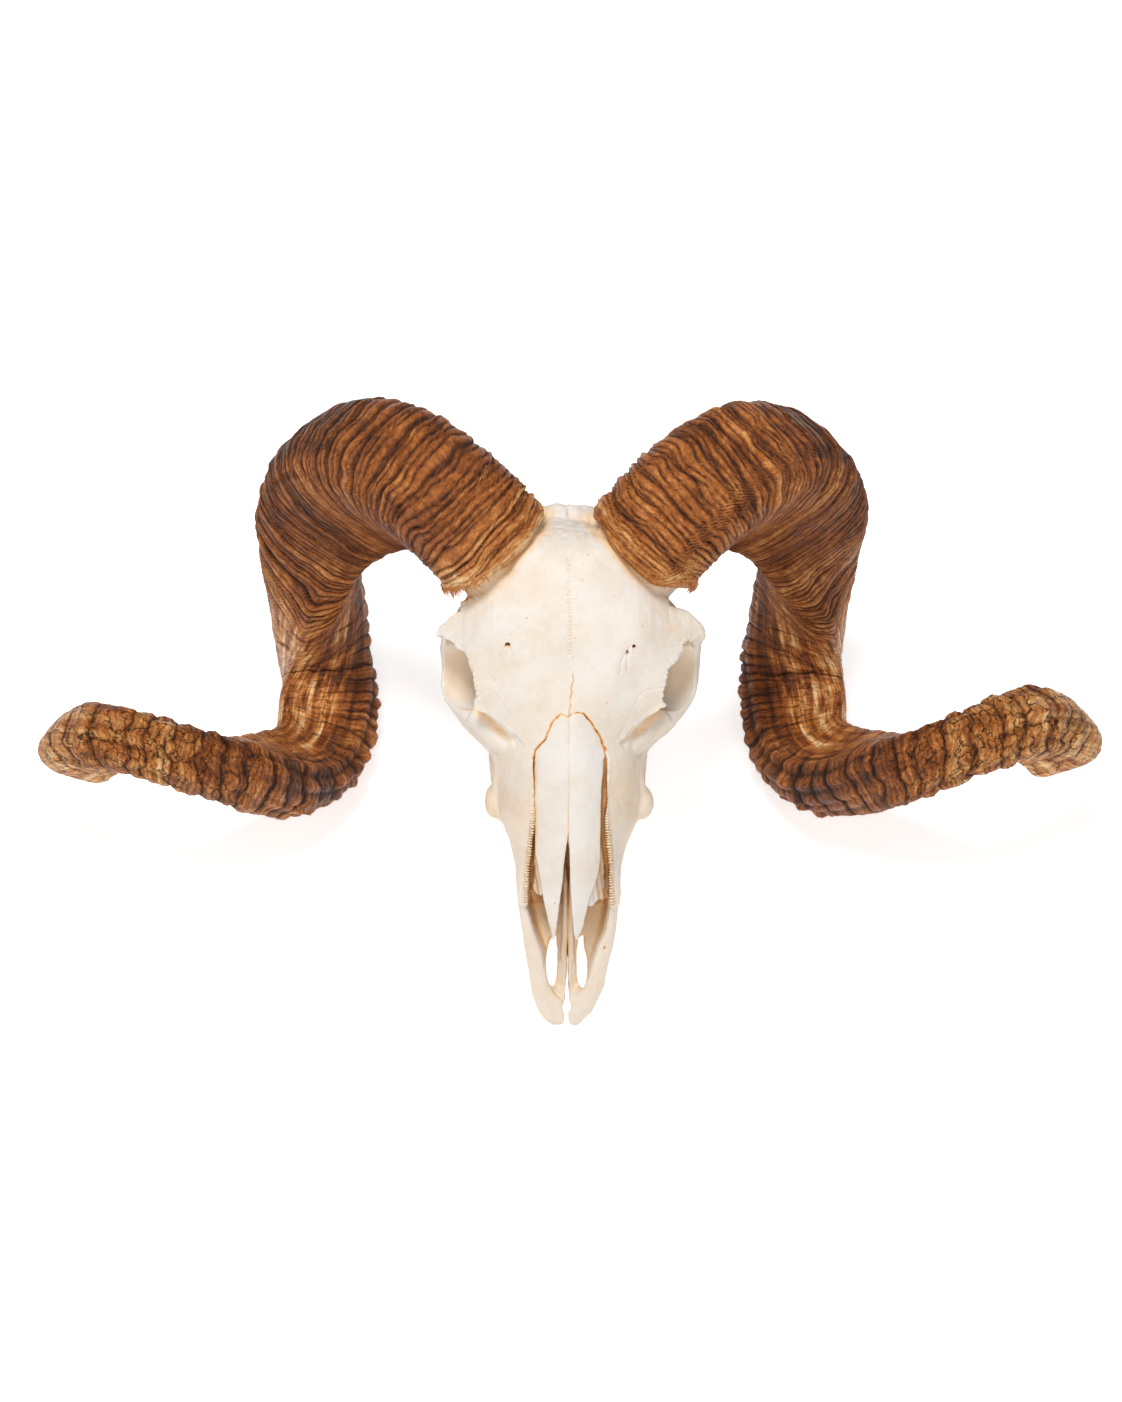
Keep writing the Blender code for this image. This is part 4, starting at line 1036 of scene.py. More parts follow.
def bone_core(name, stations, mirror):
    """The stump of bone that carries one horn."""
    length = horn_length(stations)
    at = np.array([-30, -14, 0, 8, 16]) / length
    centre, ahead, front, side, width, depth, _ = horn_frames(stations, np.maximum(at, 0))
    outline = closed_curve(HORN_SECTION, 48)
    rings = []
    for i, share in enumerate((0.92, 0.9, 0.88, 0.84, 0.76)):
        ring = (centre[i] + np.outer(outline[:, 0] * width[i] * share, side[i])
                + np.outer(outline[:, 1] * depth[i] * share, front[i]))
        rings.append(ring + ahead[i] * min(0.0, at[i]) * length)
    return loft(name, np.array(rings) * ((-1, 1, 1) if mirror else (1, 1, 1)))


pieces = [head_loft()]
pieces += both_sides(bar("orbit_rim",
                         [(66, 1, -23), (67, -4, -31), (67.4, -9, -41), (66, -20, -48), (64, -31, -48),
                          (60.5, -38, -46), (56.5, -43, -43), (50, -48, -39), (44, -54, -38)],
                         [(4, 4), (3, 4), (3, 4), (3, 4.5), (3.2, 4.5), (3.5, 5), (4, 5), (4, 5), (4, 5)]),
                     0.975)
pieces += both_sides(bar("arch", [(64, -14, -53), (61, 0, -58), (55, 13, -62), (46, 22, -65), (36, 26, -67)],
                         [(4, 6), (3, 5.5), (3, 5), (4, 5), (6, 6)]))
pieces += both_sides(bar("cheek", [(60, -37, -50), (52, -47, -46), (45, -54, -43), (39.5, -61, -41),
                                   (36.5, -68, -40), (37, -78, -43), (38.5, -90, -49)],
                         [(5, 6), (5, 6), (5, 6), (4, 5), (3.4, 4), (3.4, 4.5), (5, 6)]))
pieces += both_sides(ball("orbit_bed", (46, -27, -45), (22, 22, 17)))
pieces += both_sides(ball("orbit_back", (57, -6, -45), (11.5, 10, 14)))
pieces += both_sides(bar("lacrimal", [(45, -34, -25), (42, -39, -25), (38, -42, -25), (33, -46.5, -25),
                                      (28, -51, -23), (22, -58, -20)],
                         [(5, 7), (5, 7), (5, 6), (5, 6), (4, 5), (3, 4)]))
pieces += both_sides(bar("tear_bed", [(50, -44, -38), (44, -50, -36), (38, -56, -35), (31, -62, -31)],
                         [(6, 8), (6, 8), (6, 8), (5, 7)]))
pieces += both_sides(ball("tuber", (38.3, -90, -50), (6.3, 9.5, 7.5)))
pieces += both_sides(ball("condyle", (15, 60, -97), (9, 9, 12), 25))
pieces += both_sides(bar("paracondylar", [(26, 50, -88), (26, 48, -105), (24, 44, -124)],
                         [(4, 7), (2.6, 5), (1.6, 2)], up=(0, 1, 0)))
pieces += both_sides(ball("bulla", (17, 30, -100), (8, 12, 10)))
pieces += both_sides(bar("ear", [(30, 30, -82), (41, 28, -79), (47, 27, -77)],
                         [(6, 6), (5, 5), (4.6, 4.6)], up=(0, 1, 0)))
pieces += both_sides(bar("nuchal", [(0, 61, -32), (14, 60, -37), (27, 55, -51), (34, 48, -67)],
                         [(6, 5), (6, 5), (5, 4), (4, 4)]))
pieces += both_sides(bar("pterygoid", [(14, 2, -82), (14, -18, -90), (15, -38, -88), (17, -50, -82)],
                         [(2, 7), (1.8, 10), (1.8, 9), (2, 5)]))
pieces.append(bar("basilar", [(0, 58, -98), (0, 34, -97), (0, 6, -90), (0, -20, -80)],
                  [(11, 5), (10, 6), (8, 5), (7, 5)]))
pieces += [bone_core("core_left", HORN_LEFT, False), bone_core("core_right", HORN_RIGHT, True)]
skull = fused("skull", pieces, 1.0, 3)
print("fused skull faces:", len(skull.data.polygons))

# %% [markdown]
# The openings are cut next: the eye sockets, the temple behind each, the airway that runs from the nose to
# the throat and the vault of the palate. The nose has no roof of its own here: the two nasal bones lie over
# it as separate plates. The shield is added after the cuts, so that its edge hangs over them as a brow does.

# %% The openings
NOSE_EDGE = (
    (-22.6, -150), (-22, -136.2), (-21.8, -130.9), (-21.6, -123), (-21, -120.4), (-20.2, -115.2),
    (-19.7, -109.9), (-18.9, -103.6), (-18.5, -98.4), (-18.4, -88.9), (-18.5, -78.4), (-19, -70.5),
    (-18.6, -67), (-17.6, -62.6), (-12.1, -56.7), (-8.9, -48.4), (-4.3, -43.6), (-0.8, -45.1),
    (0, -45.1), (2.4, -43.3), (7.1, -43), (11.6, -48), (16.2, -55.8), (18.7, -62.8), (20.2, -67.2),
    (20.3, -70.5), (20, -78.4), (20, -88.9), (19.2, -99.4), (20.4, -109.9), (21.4, -120.4), (21.9, -125.1),
    (21.4, -130.9), (21.9, -136.2), (22.2, -141.4), (22.8, -150),
)


def nasal_top(points):
    """The arch of the nose: high on the midline, falling to each side."""
    v = -points[:, 1]
    ridge = np.interp(v, (44, 58, 66, 90, 118, 130, 146, 161),
                      (-3.4, -3.2, -3.1, -4.8, -10.5, -14.5, -20.5, -26.5))
    fall = np.interp(v, (44, 58, 66, 118, 146, 163), (7, 6, 5.5, 5.5, 4, 2.5))
    wide = np.interp(v, (44, 58, 66, 118, 130, 146, 163), (17.6, 17.6, 17.6, 17, 15, 11, 7))
    valley = 0.5 * np.exp(-(points[:, 0] / 1.6) ** 2)
    return ridge - fall * (np.abs(points[:, 0]) / wide) ** 2.2 - valley


cutters = both_sides(bar("socket", [(34, -24, -44), (50, -25, -36), (64, -26, -28.5), (86, -27, -17)],
                         [(10, 9), (16.5, 15), (18.5, 15.5), (20, 16)], around=36))
cutters += both_sides(ball("temple", (60, 19, -42), (19, 13, 18)))
cutters += both_sides(bar("tear_trough", [(54, -41, -23), (47, -46, -22.4), (40, -50, -22.2), (34, -55, -21),
                                          (27, -61, -17)],
                          [(2.6, 2.8), (3.6, 3.0), (3.6, 2.8), (3.2, 2.6), (2, 2)]))
cutters.append(plate("nose_roof", NOSE_EDGE, lambda p: 20 + 0 * p[:, 0],
                     lambda p: nasal_top(p) - np.interp(-p[:, 1], (62, 70, 80, 120, 150),
                                                        (1.0, 2.8, 6, 8, 14)), 2))
cutters.append(bar("foramen", [(0, 78, -88), (0, 62, -86), (0, 44, -82)], [(11, 11), (10, 10), (9, 9)]))
cutters.append(bar("airway", [(0, -160, -36), (0, -138, -34), (0, -110, -32), (0, -84, -30), (0, -56, -28)],
                   [(23, 15), (20.5, 16), (16, 17), (15, 15), (12, 12)], around=28))
cutters.append(bar("palate", [(0, -150, -63), (0, -118, -67), (0, -80, -79), (0, -50, -85), (0, -34, -88)],
                   [(12, 6), (14, 6), (20, 8), (22, 9), (13, 12)], around=28))
cutters.append(bar("choana", [(0, -56, -80), (0, -34, -78), (0, -16, -84)], [(11, 10), (11, 9), (10, 9)]))
carved(skull, cutters)
print("skull faces after the cuts:", len(skull.data.polygons))

# %% [markdown]
# The cheek teeth can't be seen from above, but a shared part is seen from all sides. Each is a squarish
# block with rounded lobes, widest near its crown, rooted in the jaw. The small holes in the forehead, where
# vessels left the bone, are cut last, after the shield and the teeth have grown into the skull.

# %% Teeth and vessel holes
def teeth():
    """The cheek teeth of one side, each a tapering block rooted in the jaw."""
    front, back = np.array((20.5, -116, -62.0)), np.array((31, -45, -84.0))
    lengths, made, gone = (8, 9, 9, 13, 16, 18), [], 0.0
    for size in lengths:
        middle = front + (back - front) * (gone + size / 2) / sum(lengths)
        gone += size
        half, broad = size / 2 - 0.4, 3.6 + size * 0.22
        rings = []
        for drop, share in ((-9, 0.8), (0, 0.95), (6.3, 1.0), (8.2, 0.94), (9, 0.8)):
            u, v, w = middle - np.array((0, 0, drop))
            corner = np.linspace(0, 2 * math.pi, 24, endpoint=False)
            square = np.maximum(np.abs(np.cos(corner)), np.abs(np.sin(corner))) ** 0.75
            lobe = 1 + 0.06 * np.cos(4 * corner)
            rings.append(np.column_stack([u + broad * share * np.cos(corner) / square * lobe,
                                          v + half * share * np.sin(corner) / square,
                                          np.full(24, w)]))
        made.append(loft("tooth", rings))
    return made


grown = [skull, shield] + sum((both_sides(tooth) for tooth in teeth()), [])
skull = fused("skull_bone", grown, 0.8, 1)
vessels = [bar("vessel", [(u, v - r * 1.4, 1.2), (u, v, -2.2), (u * 1.02, v + 4, -9)],
               [(r, 1.1), (r, 1.2), (0.8, 0.8)], up=(0, 1, 0))
           for u, v, r in ((-31.8, -6.8, 1.7), (33.8, -8.2, 0.95), (30.2, -11.0, 0.8))]
carved(skull, vessels)
print("carved skull faces:", len(skull.data.polygons))

# %% [markdown]
# The nasal bones and the two halves of the muzzle's end are separate bones on a real ram too: in a dried
# skull they only interlock. Each is a plate over an outline measured from the front.

# %% Nasal bones and muzzle
NASAL_RIGHT = (
    (0.05, -45.8), (-4.2, -44.2), (-8.3, -48.9), (-11.5, -57), (-17.1, -62.7), (-18.2, -67.7), (-18.4, -98.5),
    (-17.9, -115.9), (-15.7, -128), (-14.3, -136), (-12.6, -145.6), (-9.7, -158), (-8.4, -162.8),
    (-7.1, -160.1), (-5.2, -146.7), (-3.1, -128), (-1.3, -111.6), (-0.1, -104), (0.1, -80),
)
NASAL_LEFT = (
    (-0.45, -45.8), (2.4, -44), (6.8, -43.7), (11, -48.4), (15.6, -56.2), (18, -63), (17.9, -67.7),
    (17.4, -77.1), (16.7, -101.1), (16.2, -125.4), (14.2, -133.3), (11.1, -140.3), (7.9, -155.3),
    (4.3, -163.4), (2.9, -160.7), (1.6, -146.7), (0.6, -128), (0, -111.6), (-0.45, -102.2),
)
MUZZLE_RIGHT = (
    (-26.6, -132), (-27.1, -139.1), (-27.3, -142.9), (-24.7, -159.7), (-20.7, -181.7), (-19.3, -193.4),
    (-15.3, -203), (-11.6, -207.3), (-8.4, -209.4), (-3.8, -209.8), (-2.6, -207.8), (-2.7, -203.2),
    (-3.9, -200.3), (-1.9, -196.1), (-1.2, -174.8), (-0.8, -163.1), (-0.8, -132),
)
MUZZLE_LEFT = (
    (26.2, -132), (26.2, -139.1), (26.4, -145.5), (25.1, -159.4), (21.4, -174.8), (18.7, -188.1),
    (15.5, -196.1), (11.3, -203.5), (6, -208.9), (3.8, -210.5), (0.6, -209.7), (-0.5, -206.7), (-0.2, -202.5),
    (1.2, -200.3), (-0.1, -196.1), (-0.2, -174.8), (-0.4, -163.1), (-0.4, -132),
)
FISSURE_RIGHT = (
    (-9, -161.5), (-6.2, -161.5), (-5.6, -168.1), (-5.6, -177.7), (-6.6, -184.7), (-8.4, -189.5),
    (-10.6, -187.9), (-12.2, -183.1), (-12.7, -176.1), (-12.4, -169.7), (-11.1, -164.9),
)
FISSURE_LEFT = (
    (6.5, -161.5), (4.6, -163), (3.6, -170.8), (3.8, -180.4), (4.9, -187.3), (7, -191.1), (8.9, -187.9),
    (10, -181.5), (10, -174), (8.9, -168.1), (8.2, -161.5),
)


def muzzle_heights(outline, outer):
    """Top and bottom of a half muzzle: a rounded bar along the outer edge, a floor inside it."""
    rim, inner = np.array(outline[:outer]), np.array(outline[outer:])

    def top(points):
        away, v = distance_to(rim, points), -points[:, 1]
        crest = np.interp(v, (132, 140, 148, 168, 184, 198, 210), (-25, -27.5, -31, -40, -45.5, -49, -53))
        floor_height = np.interp(v, (132, 165, 188, 196, 210), (-50, -52, -53, -50.5, -53))
        broad = np.interp(v, (132, 140, 148, 155, 162, 169, 184, 192), (3.5, 4.2, 4.8, 5.4, 6.2, 7, 8, 9))
        strip = 1.8 * np.exp(-(distance_to(inner, points) / 2.2) ** 2) * (v < 197)
        slope = np.clip((away - broad) / np.interp(v, (140, 184, 192, 198), (3.2, 3, 6, 12)), 0, 1)
        drop = slope * slope * (3 - 2 * slope)
        edge = 3.6 * np.clip(1 - away / 3.4, 0, 1) ** 2
        return crest + (floor_height - crest) * drop - edge + strip

    def bottom(points):
        away, v = distance_to(rim, points), -points[:, 1]
        sole = np.interp(v, (132, 170, 200, 210), (-54.5, -57, -59.5, -57.5))
        return sole + 3.5 * np.clip(1 - away / 4, 0, 1) ** 2

    return top, bottom


def interlocked(outline):
    """The outline of a nasal bone, with its upper edge grown into the forehead along a ragged seam."""
    fine = np.array(refined(outline, 1.1))
    middle = np.array((0.0, -66.0))
    away = fine - middle
    away /= np.linalg.norm(away, axis=1)[:, None]
    seam = (fine[:, 1] > -66) & (np.abs(fine[:, 0]) > 0.6)
    return fine + away * (seam * (0.42 + ragged.normal(0, 0.2, len(fine))))[:, None]


nasal_bones = []
for name, outline in (("nasal_bone_left", NASAL_LEFT), ("nasal_bone_right", NASAL_RIGHT)):
    bone = plate(name, interlocked(outline), nasal_top,
                 lambda p: nasal_top(p) - np.interp(-p[:, 1], (62, 72), (0.9, 2.4)), 1.2)
    nasal_bones.append(fused(name, [bone], 0.6, 1))
muzzle_bones = []
for name, outline, hole, outer, vomer in (
        ("muzzle_bone_left", MUZZLE_LEFT, FISSURE_LEFT, 11,
         ((0.9, -112, -36), (0.9, -140, -43), (0.9, -160, -49), (1.4, -175, -52))),
        ("muzzle_bone_right", MUZZLE_RIGHT, FISSURE_RIGHT, 10,
         ((-1.6, -112, -36), (-1.7, -140, -43), (-1.9, -160, -49), (-3.0, -175, -52)))):
    top, bottom = muzzle_heights(outline, outer)
    bone = [plate(name, outline, top, bottom, 1.2, [hole]),
            bar("vomer", vomer, [(1.2, 6), (1.3, 5), (1.5, 3), (1.4, 1.4)])]
    muzzle_bones.append(fused(name, bone, 0.6, 2))
print("nasal and muzzle faces:", [len(o.data.polygons) for o in nasal_bones + muzzle_bones])

# %% [markdown]
# Where the nasal bones end, torn edges of the paper-thin scrolls that line the nose show below them. Real
# ones are rolled sheets, but only their front edge is in view, so each is a thin, lightly rippled plate a
# little under the nasal bones.

# %% Torn edges inside the nose
SCROLLS = {
    "scroll_right": ((-15.5, -108), (-17.9, -115.4), (-18.6, -125.9), (-18.5, -134), (-21.3, -133),
                     (-22.3, -137), (-20, -137.6), (-17.9, -137), (-16.3, -139.1), (-14.8, -139.6),
                     (-11, -136), (-13, -110)),
    "scroll_left": ((13, -106), (16.6, -110), (18.5, -120.7), (18.9, -131.2), (19.4, -137), (22, -138.5),
                    (22, -142), (18.5, -141), (15.3, -142), (13.2, -143.8), (11.1, -145.2), (9.5, -144.6),
                    (10, -130)),
}
scrolls = []
for name, outline in SCROLLS.items():
    edge = np.array(refined(outline, 1.0))
    edge += ragged.normal(0, 0.25, edge.shape)

    def height(p):
        under = np.column_stack([np.clip(p[:, 0], -15.5, 15.5), p[:, 1]])
        ripple = 0.5 * np.sin(p[:, 0] * 2.1 + p[:, 1] * 0.35)
        return nasal_top(under) - 2.9 - 1.1 * np.maximum(0, np.abs(p[:, 0]) - 15) + ripple

    scrolls.append(fused(name, [plate(name, edge, height, lambda p: height(p) - 1.1, 0.9)], 0.4, 1))
print("scroll faces:", [len(o.data.polygons) for o in scrolls])

# %% [markdown]
# Old bone is never smooth: the plates meet in wandering cracks, the edges of the upper jaw are pleated like
# a pie crust, and a fine beading runs down the middle of the forehead. Such marks are finer than the skin's
# mesh, so it is divided further only near them, and then each point is pushed along its normal. A list of
# lines, measured from the front, says where they run.

# %% Fine marks of the bone
def lumps(points, size, seed):
    """Smooth chance in space, about -1 to 1, with lumps of the given size."""
    lattice = np.random.default_rng(seed).normal(0, 0.6, (48, 48, 48))
    place = points / size
    low = np.floor(place).astype(int)
    part = place - low
    part = part * part * (3 - 2 * part)
    total = np.zeros(len(points))
    for corner in range(8):
        step = np.array((corner & 1, corner >> 1 & 1, corner >> 2))
        share = np.prod(np.where(step, part, 1 - part), axis=1)
        x, y, z = ((low + step) % 48).T
        total += share * lattice[x, y, z]
    return total


def along(line, points):
    """How far each point lies from a line seen from the front, and how far along the line that is."""
    line = np.asarray(line, float)
    nearest, reach, gone = np.full(len(points), 1e9), np.zeros(len(points)), 0.0
    for a, b in zip(line, line[1:]):
        run = b - a
        long = np.linalg.norm(run)
        share = np.clip(((points[:, :2] - a) @ run) / (long * long), 0, 1)
        gap = np.hypot(*(points[:, :2] - a - share[:, None] * run).T)
        closer = gap < nearest
        nearest, reach = np.where(closer, gap, nearest), np.where(closer, gone + share * long, reach)
        gone += long
    return nearest, reach


def divided(obj, lines, reach, longest, rounds=2):
    """Splits the edges near the lines until none there is long."""
    grid = bmesh.new()
    grid.from_mesh(obj.data)
    for _ in range(rounds):
        grid.verts.ensure_lookup_table()
        points = np.array([v.co[:] for v in grid.verts]) / MM
        near = np.zeros(len(points), bool)
        for line, floor_height in lines:
            near |= (along(line, points)[0] < reach) & (points[:, 2] > floor_height)
        edges = [e for e in grid.edges if near[e.verts[0].index] and near[e.verts[1].index]
                 and e.calc_length() > longest * MM]
        bmesh.ops.subdivide_edges(grid, edges=edges, cuts=1, use_grid_fill=True)
        bmesh.ops.triangulate(grid, faces=[f for f in grid.faces if len(f.verts) > 4])
    grid.to_mesh(obj.data)
    grid.free()
    return obj


MIDLINE = [(-0.3, 36.4), (0, 23.4), (0.5, 10.4), (0.8, -2.6), (1, -13)]
MIDCRACK = [(1.8, -23), (2.1, -26.5), (1.3, -30), (1.6, -33.3),
            (0.6, -36), (0.8, -39), (0.2, -42), (0.5, -46)]
TEAR_SEAMS = ([(-49, -34.2), (-45, -32.6), (-41.1, -31.7), (-37.5, -34.7), (-33.5, -39.9), (-30.5, -46.9),
               (-28.8, -51.5), (-27.4, -54.5)],
              [(50, -30), (46, -31), (41.3, -30.8), (36, -35.5), (33.1, -40.5), (31.4, -45.7), (28.4, -51.5),
               (25.6, -56.8)])
VESSEL_GROOVES = ([(-31.6, -8.5), (-29.6, -13), (-29.4, -20)], [(-32.6, -8), (-34.5, -10.5), (-36, -14)],
                  [(31.4, -9), (30.4, -14), (30.8, -21)], [(29.4, -12.4), (27, -17), (26.4, -22)])
TEAR_BEDS = [(48, -42), (44, -47), (38, -51), (30, -57)]
JAW_RIMS = ([(-19.4, -66), (-18.8, -78.4), (-18.8, -98.4), (-20, -109.9), (-21.3, -120.4), (-22.2, -130.9),
             (-22.6, -143)],
            [(20.6, -68), (20.4, -88.9), (19.7, -99.4), (20.8, -109.9), (21.8, -120.4), (22.1, -133),
             (22.8, -145)])
BROWS = (SHIELD[2:20], SHIELD[46:59])
NOSE_SEAM = NOSE_EDGE[12:24]
CHEEK_CRACKS = ([(-36.5, -64), (-37.5, -70), (-35.5, -75), (-38, -80)],
                [(-29.5, -66), (-28.4, -76), (-31, -84)], [(-33, -92), (-29.5, -95), (-31.5, -99)],
                [(34, -88), (30.5, -93), (33.5, -97)], [(36.5, -66), (35, -74), (37, -83)])
PORES = ((9.9, 39.3), (3, -4.1), (-40.6, 14.5), (-26.5, 1.5), (-30.4, -2.5), (-22, 6), (-13, 12), (24, 18),
         (38.6, 2), (-8, -26), (12, -20), (-16, -34), (20, -38), (-40, -24.5), (-38.5, -26), (7, 26))
fine = [(line, -14) for line in (MIDLINE, MIDCRACK, NOSE_SEAM, *TEAR_SEAMS, *VESSEL_GROOVES)]
fine += [(line, -36) for line in (*JAW_RIMS, *BROWS)] + [(line, -60) for line in CHEEK_CRACKS]
divided(skull, fine, 2.2, 0.42)
print("skull faces with its marks:", len(skull.data.polygons))

# %% [markdown]
# Each bone is then marked in one pass: lumps of four sizes, the grooves of its lines, and whatever is its
# own. The same pass notes a stain for each point: above 0 where dirt has settled, and where shade is painted
# in, inside the nose, on steep edges, in the pleats' valleys and beside the horns' rims, which the finish
# turns from yellow to brown; and below 0 for painted light that makes the shaded eye sockets and tear
# troughs paler.

# %% Marks, stains, painted shade and painted light
def read_points(mesh):
    """The points of a mesh, one row each."""
    flat = np.empty(len(mesh.vertices) * 3, np.float32)
    mesh.vertices.foreach_get("co", flat)
    return flat.reshape(-1, 3)


def read_normals(mesh):
    """The way each point of a mesh faces."""
    flat = np.empty(len(mesh.vertices) * 3, np.float32)
    mesh.vertex_normals.foreach_get("vector", flat)
    return flat.reshape(-1, 3)


def write_points(mesh, points):
    mesh.vertices.foreach_set("co", points.astype(np.float32).ravel())


def hill(gap, reach):
    """A bell that is 1 where the gap is 0 and fades over the reach."""
    return np.exp(-(gap / reach) ** 2)


def marked(obj, seed, lines=(), extra=None):
    """Pushes every point of a bone by its lumps and marks, and stores its stains, with the painted shade and
    light of its own marks.
    """
    mesh = obj.data
    points, normals = read_points(mesh).astype(float) / MM, read_normals(mesh).astype(float)
    push = (0.9 * lumps(points, 24, 5) + 0.5 * lumps(points, 12, 6)
            + 0.20 * lumps(points, 4.6, seed + 1) + 0.08 * lumps(points, 1.9, seed + 2))
    stain = np.zeros(len(points))
    for line, depth, half, brown in lines:
        wobble = np.column_stack([points[:, :2] + 0.45 * np.column_stack(
            [lumps(points, 2.2, seed + 7), lumps(points, 2.2, seed + 8)]), points[:, 2]])
        near, _ = along(line, wobble)
        push -= depth * hill(near, half) * (normals[:, 2] > 0.1)
        stain = np.maximum(stain, brown * hill(near, half * 0.9) * (normals[:, 2] > -0.2))
    if extra:
        push, stain = extra(points, normals, push, stain)
    write_points(mesh, (points + normals * push[:, None]) * MM)
    told(mesh, "stain", stain)


def skull_marks(points, normals, push, stain):
    """The marks of the large bone: beads, pleats, brows, pores, temples, sockets and tear troughs, with
    painted shade and painted light.
    """
    u, v, w = points.T
    outward, up = np.abs(u), np.clip(normals[:, 2] * 1.6, 0, 1)
    # The midline: beads of bone, and between them short, stained cross cuts.
    near, _ = along(MIDLINE, points)
    push += 0.60 * np.maximum(lumps(points, 1.7, 31), -0.2) * hill(near, 3.2) * up * (w > -12)
    cuts = np.clip(np.sin(2 * np.pi * (v + 0.8 * lumps(points, 4, 43)) / 1.9) + 0.2, 0, 1)
    cuts = cuts * hill(near, 1.3) * up * (w > -12) * (v > -14)
    push -= 0.35 * cuts
    stain = np.maximum(stain, 0.36 * cuts * np.clip(0.7 + lumps(points, 9, 44), 0, 1))
    # The crown's rough crest.
    crown = np.clip((v - 44) / 8, 0, 1) * np.clip((w + 64) / 20, 0, 1)
    push += crown * (1.0 * lumps(points, 6.5, 33) + 0.55 * lumps(points, 2.4, 34))
    # The pleated rims of the upper jaw, with painted shade, brown, in their valleys.
    for rim in JAW_RIMS:
        near, reach = along(rim, points)
        front = np.clip((-v - 84) / 22, 0.25, 1) * (w > -34)
        pleat = np.abs(np.sin(np.pi * (reach + 0.4 * lumps(points, 3, 35)) / 1.35)) - 0.5
        push += (1.7 * pleat * hill(near, 1.6) + 0.5 * hill(near, 1.3)) * front
        valley = np.clip(-pleat, 0, 1) * (1 + lumps(points, 5, 45))
        stain = np.maximum(stain, 0.75 * valley * hill(near, 1.5) * front)
        stain = np.maximum(stain, 0.16 * hill(near, 2.5) * front)
    # The uneven edges of the brows.
    for brow in BROWS:
        near, reach = along(brow, points)
        nicks = np.sin(2 * np.pi * (reach + 2.4 * lumps(points, 4, 36)) / 2.9) + lumps(points, 1.6, 38)
        push += 0.24 * nicks * hill(near, 2.4) * (w > -26)
    for place in PORES:
        away = np.hypot(*(points[:, :2] - place).T)
        push -= 0.5 * hill(away, 0.55) * (w > -20)
        stain = np.maximum(stain, 0.75 * hill(away, 0.5) * (w > -20))
    # A yellow patch over one eye, the striped hollow of each temple, warmer cheeks.
    yellow = np.exp(-((u - 53) ** 2 + (v + 2) ** 2) / 50) * (w > -20)
    stain = np.maximum(stain, 0.22 * yellow * np.clip(lumps(points, 3, 37) + 0.6, 0, 1))
    temple = np.clip((outward - 28) / 14, 0, 1) * np.clip((v + 6) / 10, 0, 1)
    push += 0.22 * lumps(points * (1, 0.2, 0.6), 1.7, 41) * temple
    push -= 1.6 * hill(outward - 50, 7) * hill(v - 20, 9)
    cheek = np.clip((-v - 45) / 30, 0, 1) * np.clip((outward - 14) / 6, 0, 1)
    # Painted shadow, brown, beside each sheath's rim.
    stain = np.maximum(stain, rim_shadow(points))
    stain = np.maximum(stain, (0.055 + 0.08 * cheek) * (1 + 0.7 * lumps(points, 16, 39)))
    # Painted shade, brown, inside the nose.
    stain = np.maximum(stain, inside_nose(points, normals))
    # Painted light: the shaded eye sockets and tear troughs are made paler, as a stain below 0.
    socket_light_share = np.exp(-(((outward - 57) / 12) ** 2 + ((v + 19) / 18) ** 2) ** 2)
    socket_light_share *= (w < -20) * ((outward < 56) | (normals[:, 0] * np.sign(u) < 0.1))
    near, _ = along(TEAR_BEDS, np.abs(points) * (1, -1, 1))
    socket_light_share = np.maximum(socket_light_share, 0.8 * hill(near, 3.5) * (w < -12) * (v < 0))
    return push, np.where(socket_light_share > 0.1, stain * (1 - socket_light_share) - 0.42 * socket_light_share, stain)


def rim_shadow(points):
    """Painted shadow, brown, on the bone beside the rim of each sheath, mixed with the stain there."""
    stain = np.zeros(len(points))
    near_horns = np.nonzero((points[:, 1] > 4) & (points[:, 2] > -70))[0]
    rims = np.concatenate([ring[::3] for ring in rim_rings])
    for some in np.array_split(near_horns, 40):
        gap = np.linalg.norm(points[some, None] - rims[None], axis=2).min(axis=1)
        stain[some] = 0.5 * hill(gap, 3.4)
    return stain * (1 + 0.5 * lumps(points, 5, 42))


def inside_nose(points, normals):
    """Painted shade, brown, on the walls and ledges under the nasal bones and on the edges that face them,
    with the brown of dried tissue there.
    """
    deep = np.clip((nasal_top(points) - points[:, 2] - 0.4) / 0.5, 0, 1) * (points[:, 2] > -60)
    inward = np.clip(-normals[:, 0] * np.sign(points[:, 0]) * 3, 0, 1)
    edge = inward * (distance_to(NOSE_EDGE, points[:, :2]) < 1.2)
    return 0.62 * deep * np.maximum(within(NOSE_EDGE, points[:, :2]), edge)


def nasal_marks(points, normals, push, stain):
    """Painted shade, brown, on the steep free edges of the nasal bones."""
    open_edge = (np.abs(points[:, 0]) > 10) | (points[:, 1] < -106)
    return push, np.maximum(stain, 0.6 * np.clip((0.5 - normals[:, 2]) / 0.4, 0, 1) * open_edge)


def muzzle_marks(points, normals, push, stain):
    """A warm tone, with painted shade, browner, on the inner slopes of the muzzle that face the middle."""
    v = -points[:, 1]
    crest = np.interp(v, (132, 140, 148, 168, 184, 198, 210), (-25, -27.5, -31, -40, -45.5, -49, -53))
    inner = np.clip((crest - points[:, 2] - 2.5) / 6, 0, 1) * np.interp(v, (150, 172, 192), (0.5, 0.3, 0))
    facing_in = np.clip(0.6 - normals[:, 0] * np.sign(points[:, 0]) * 1.5, 0, 1)
    return push, np.maximum(stain, np.maximum(0.12, inner * facing_in))


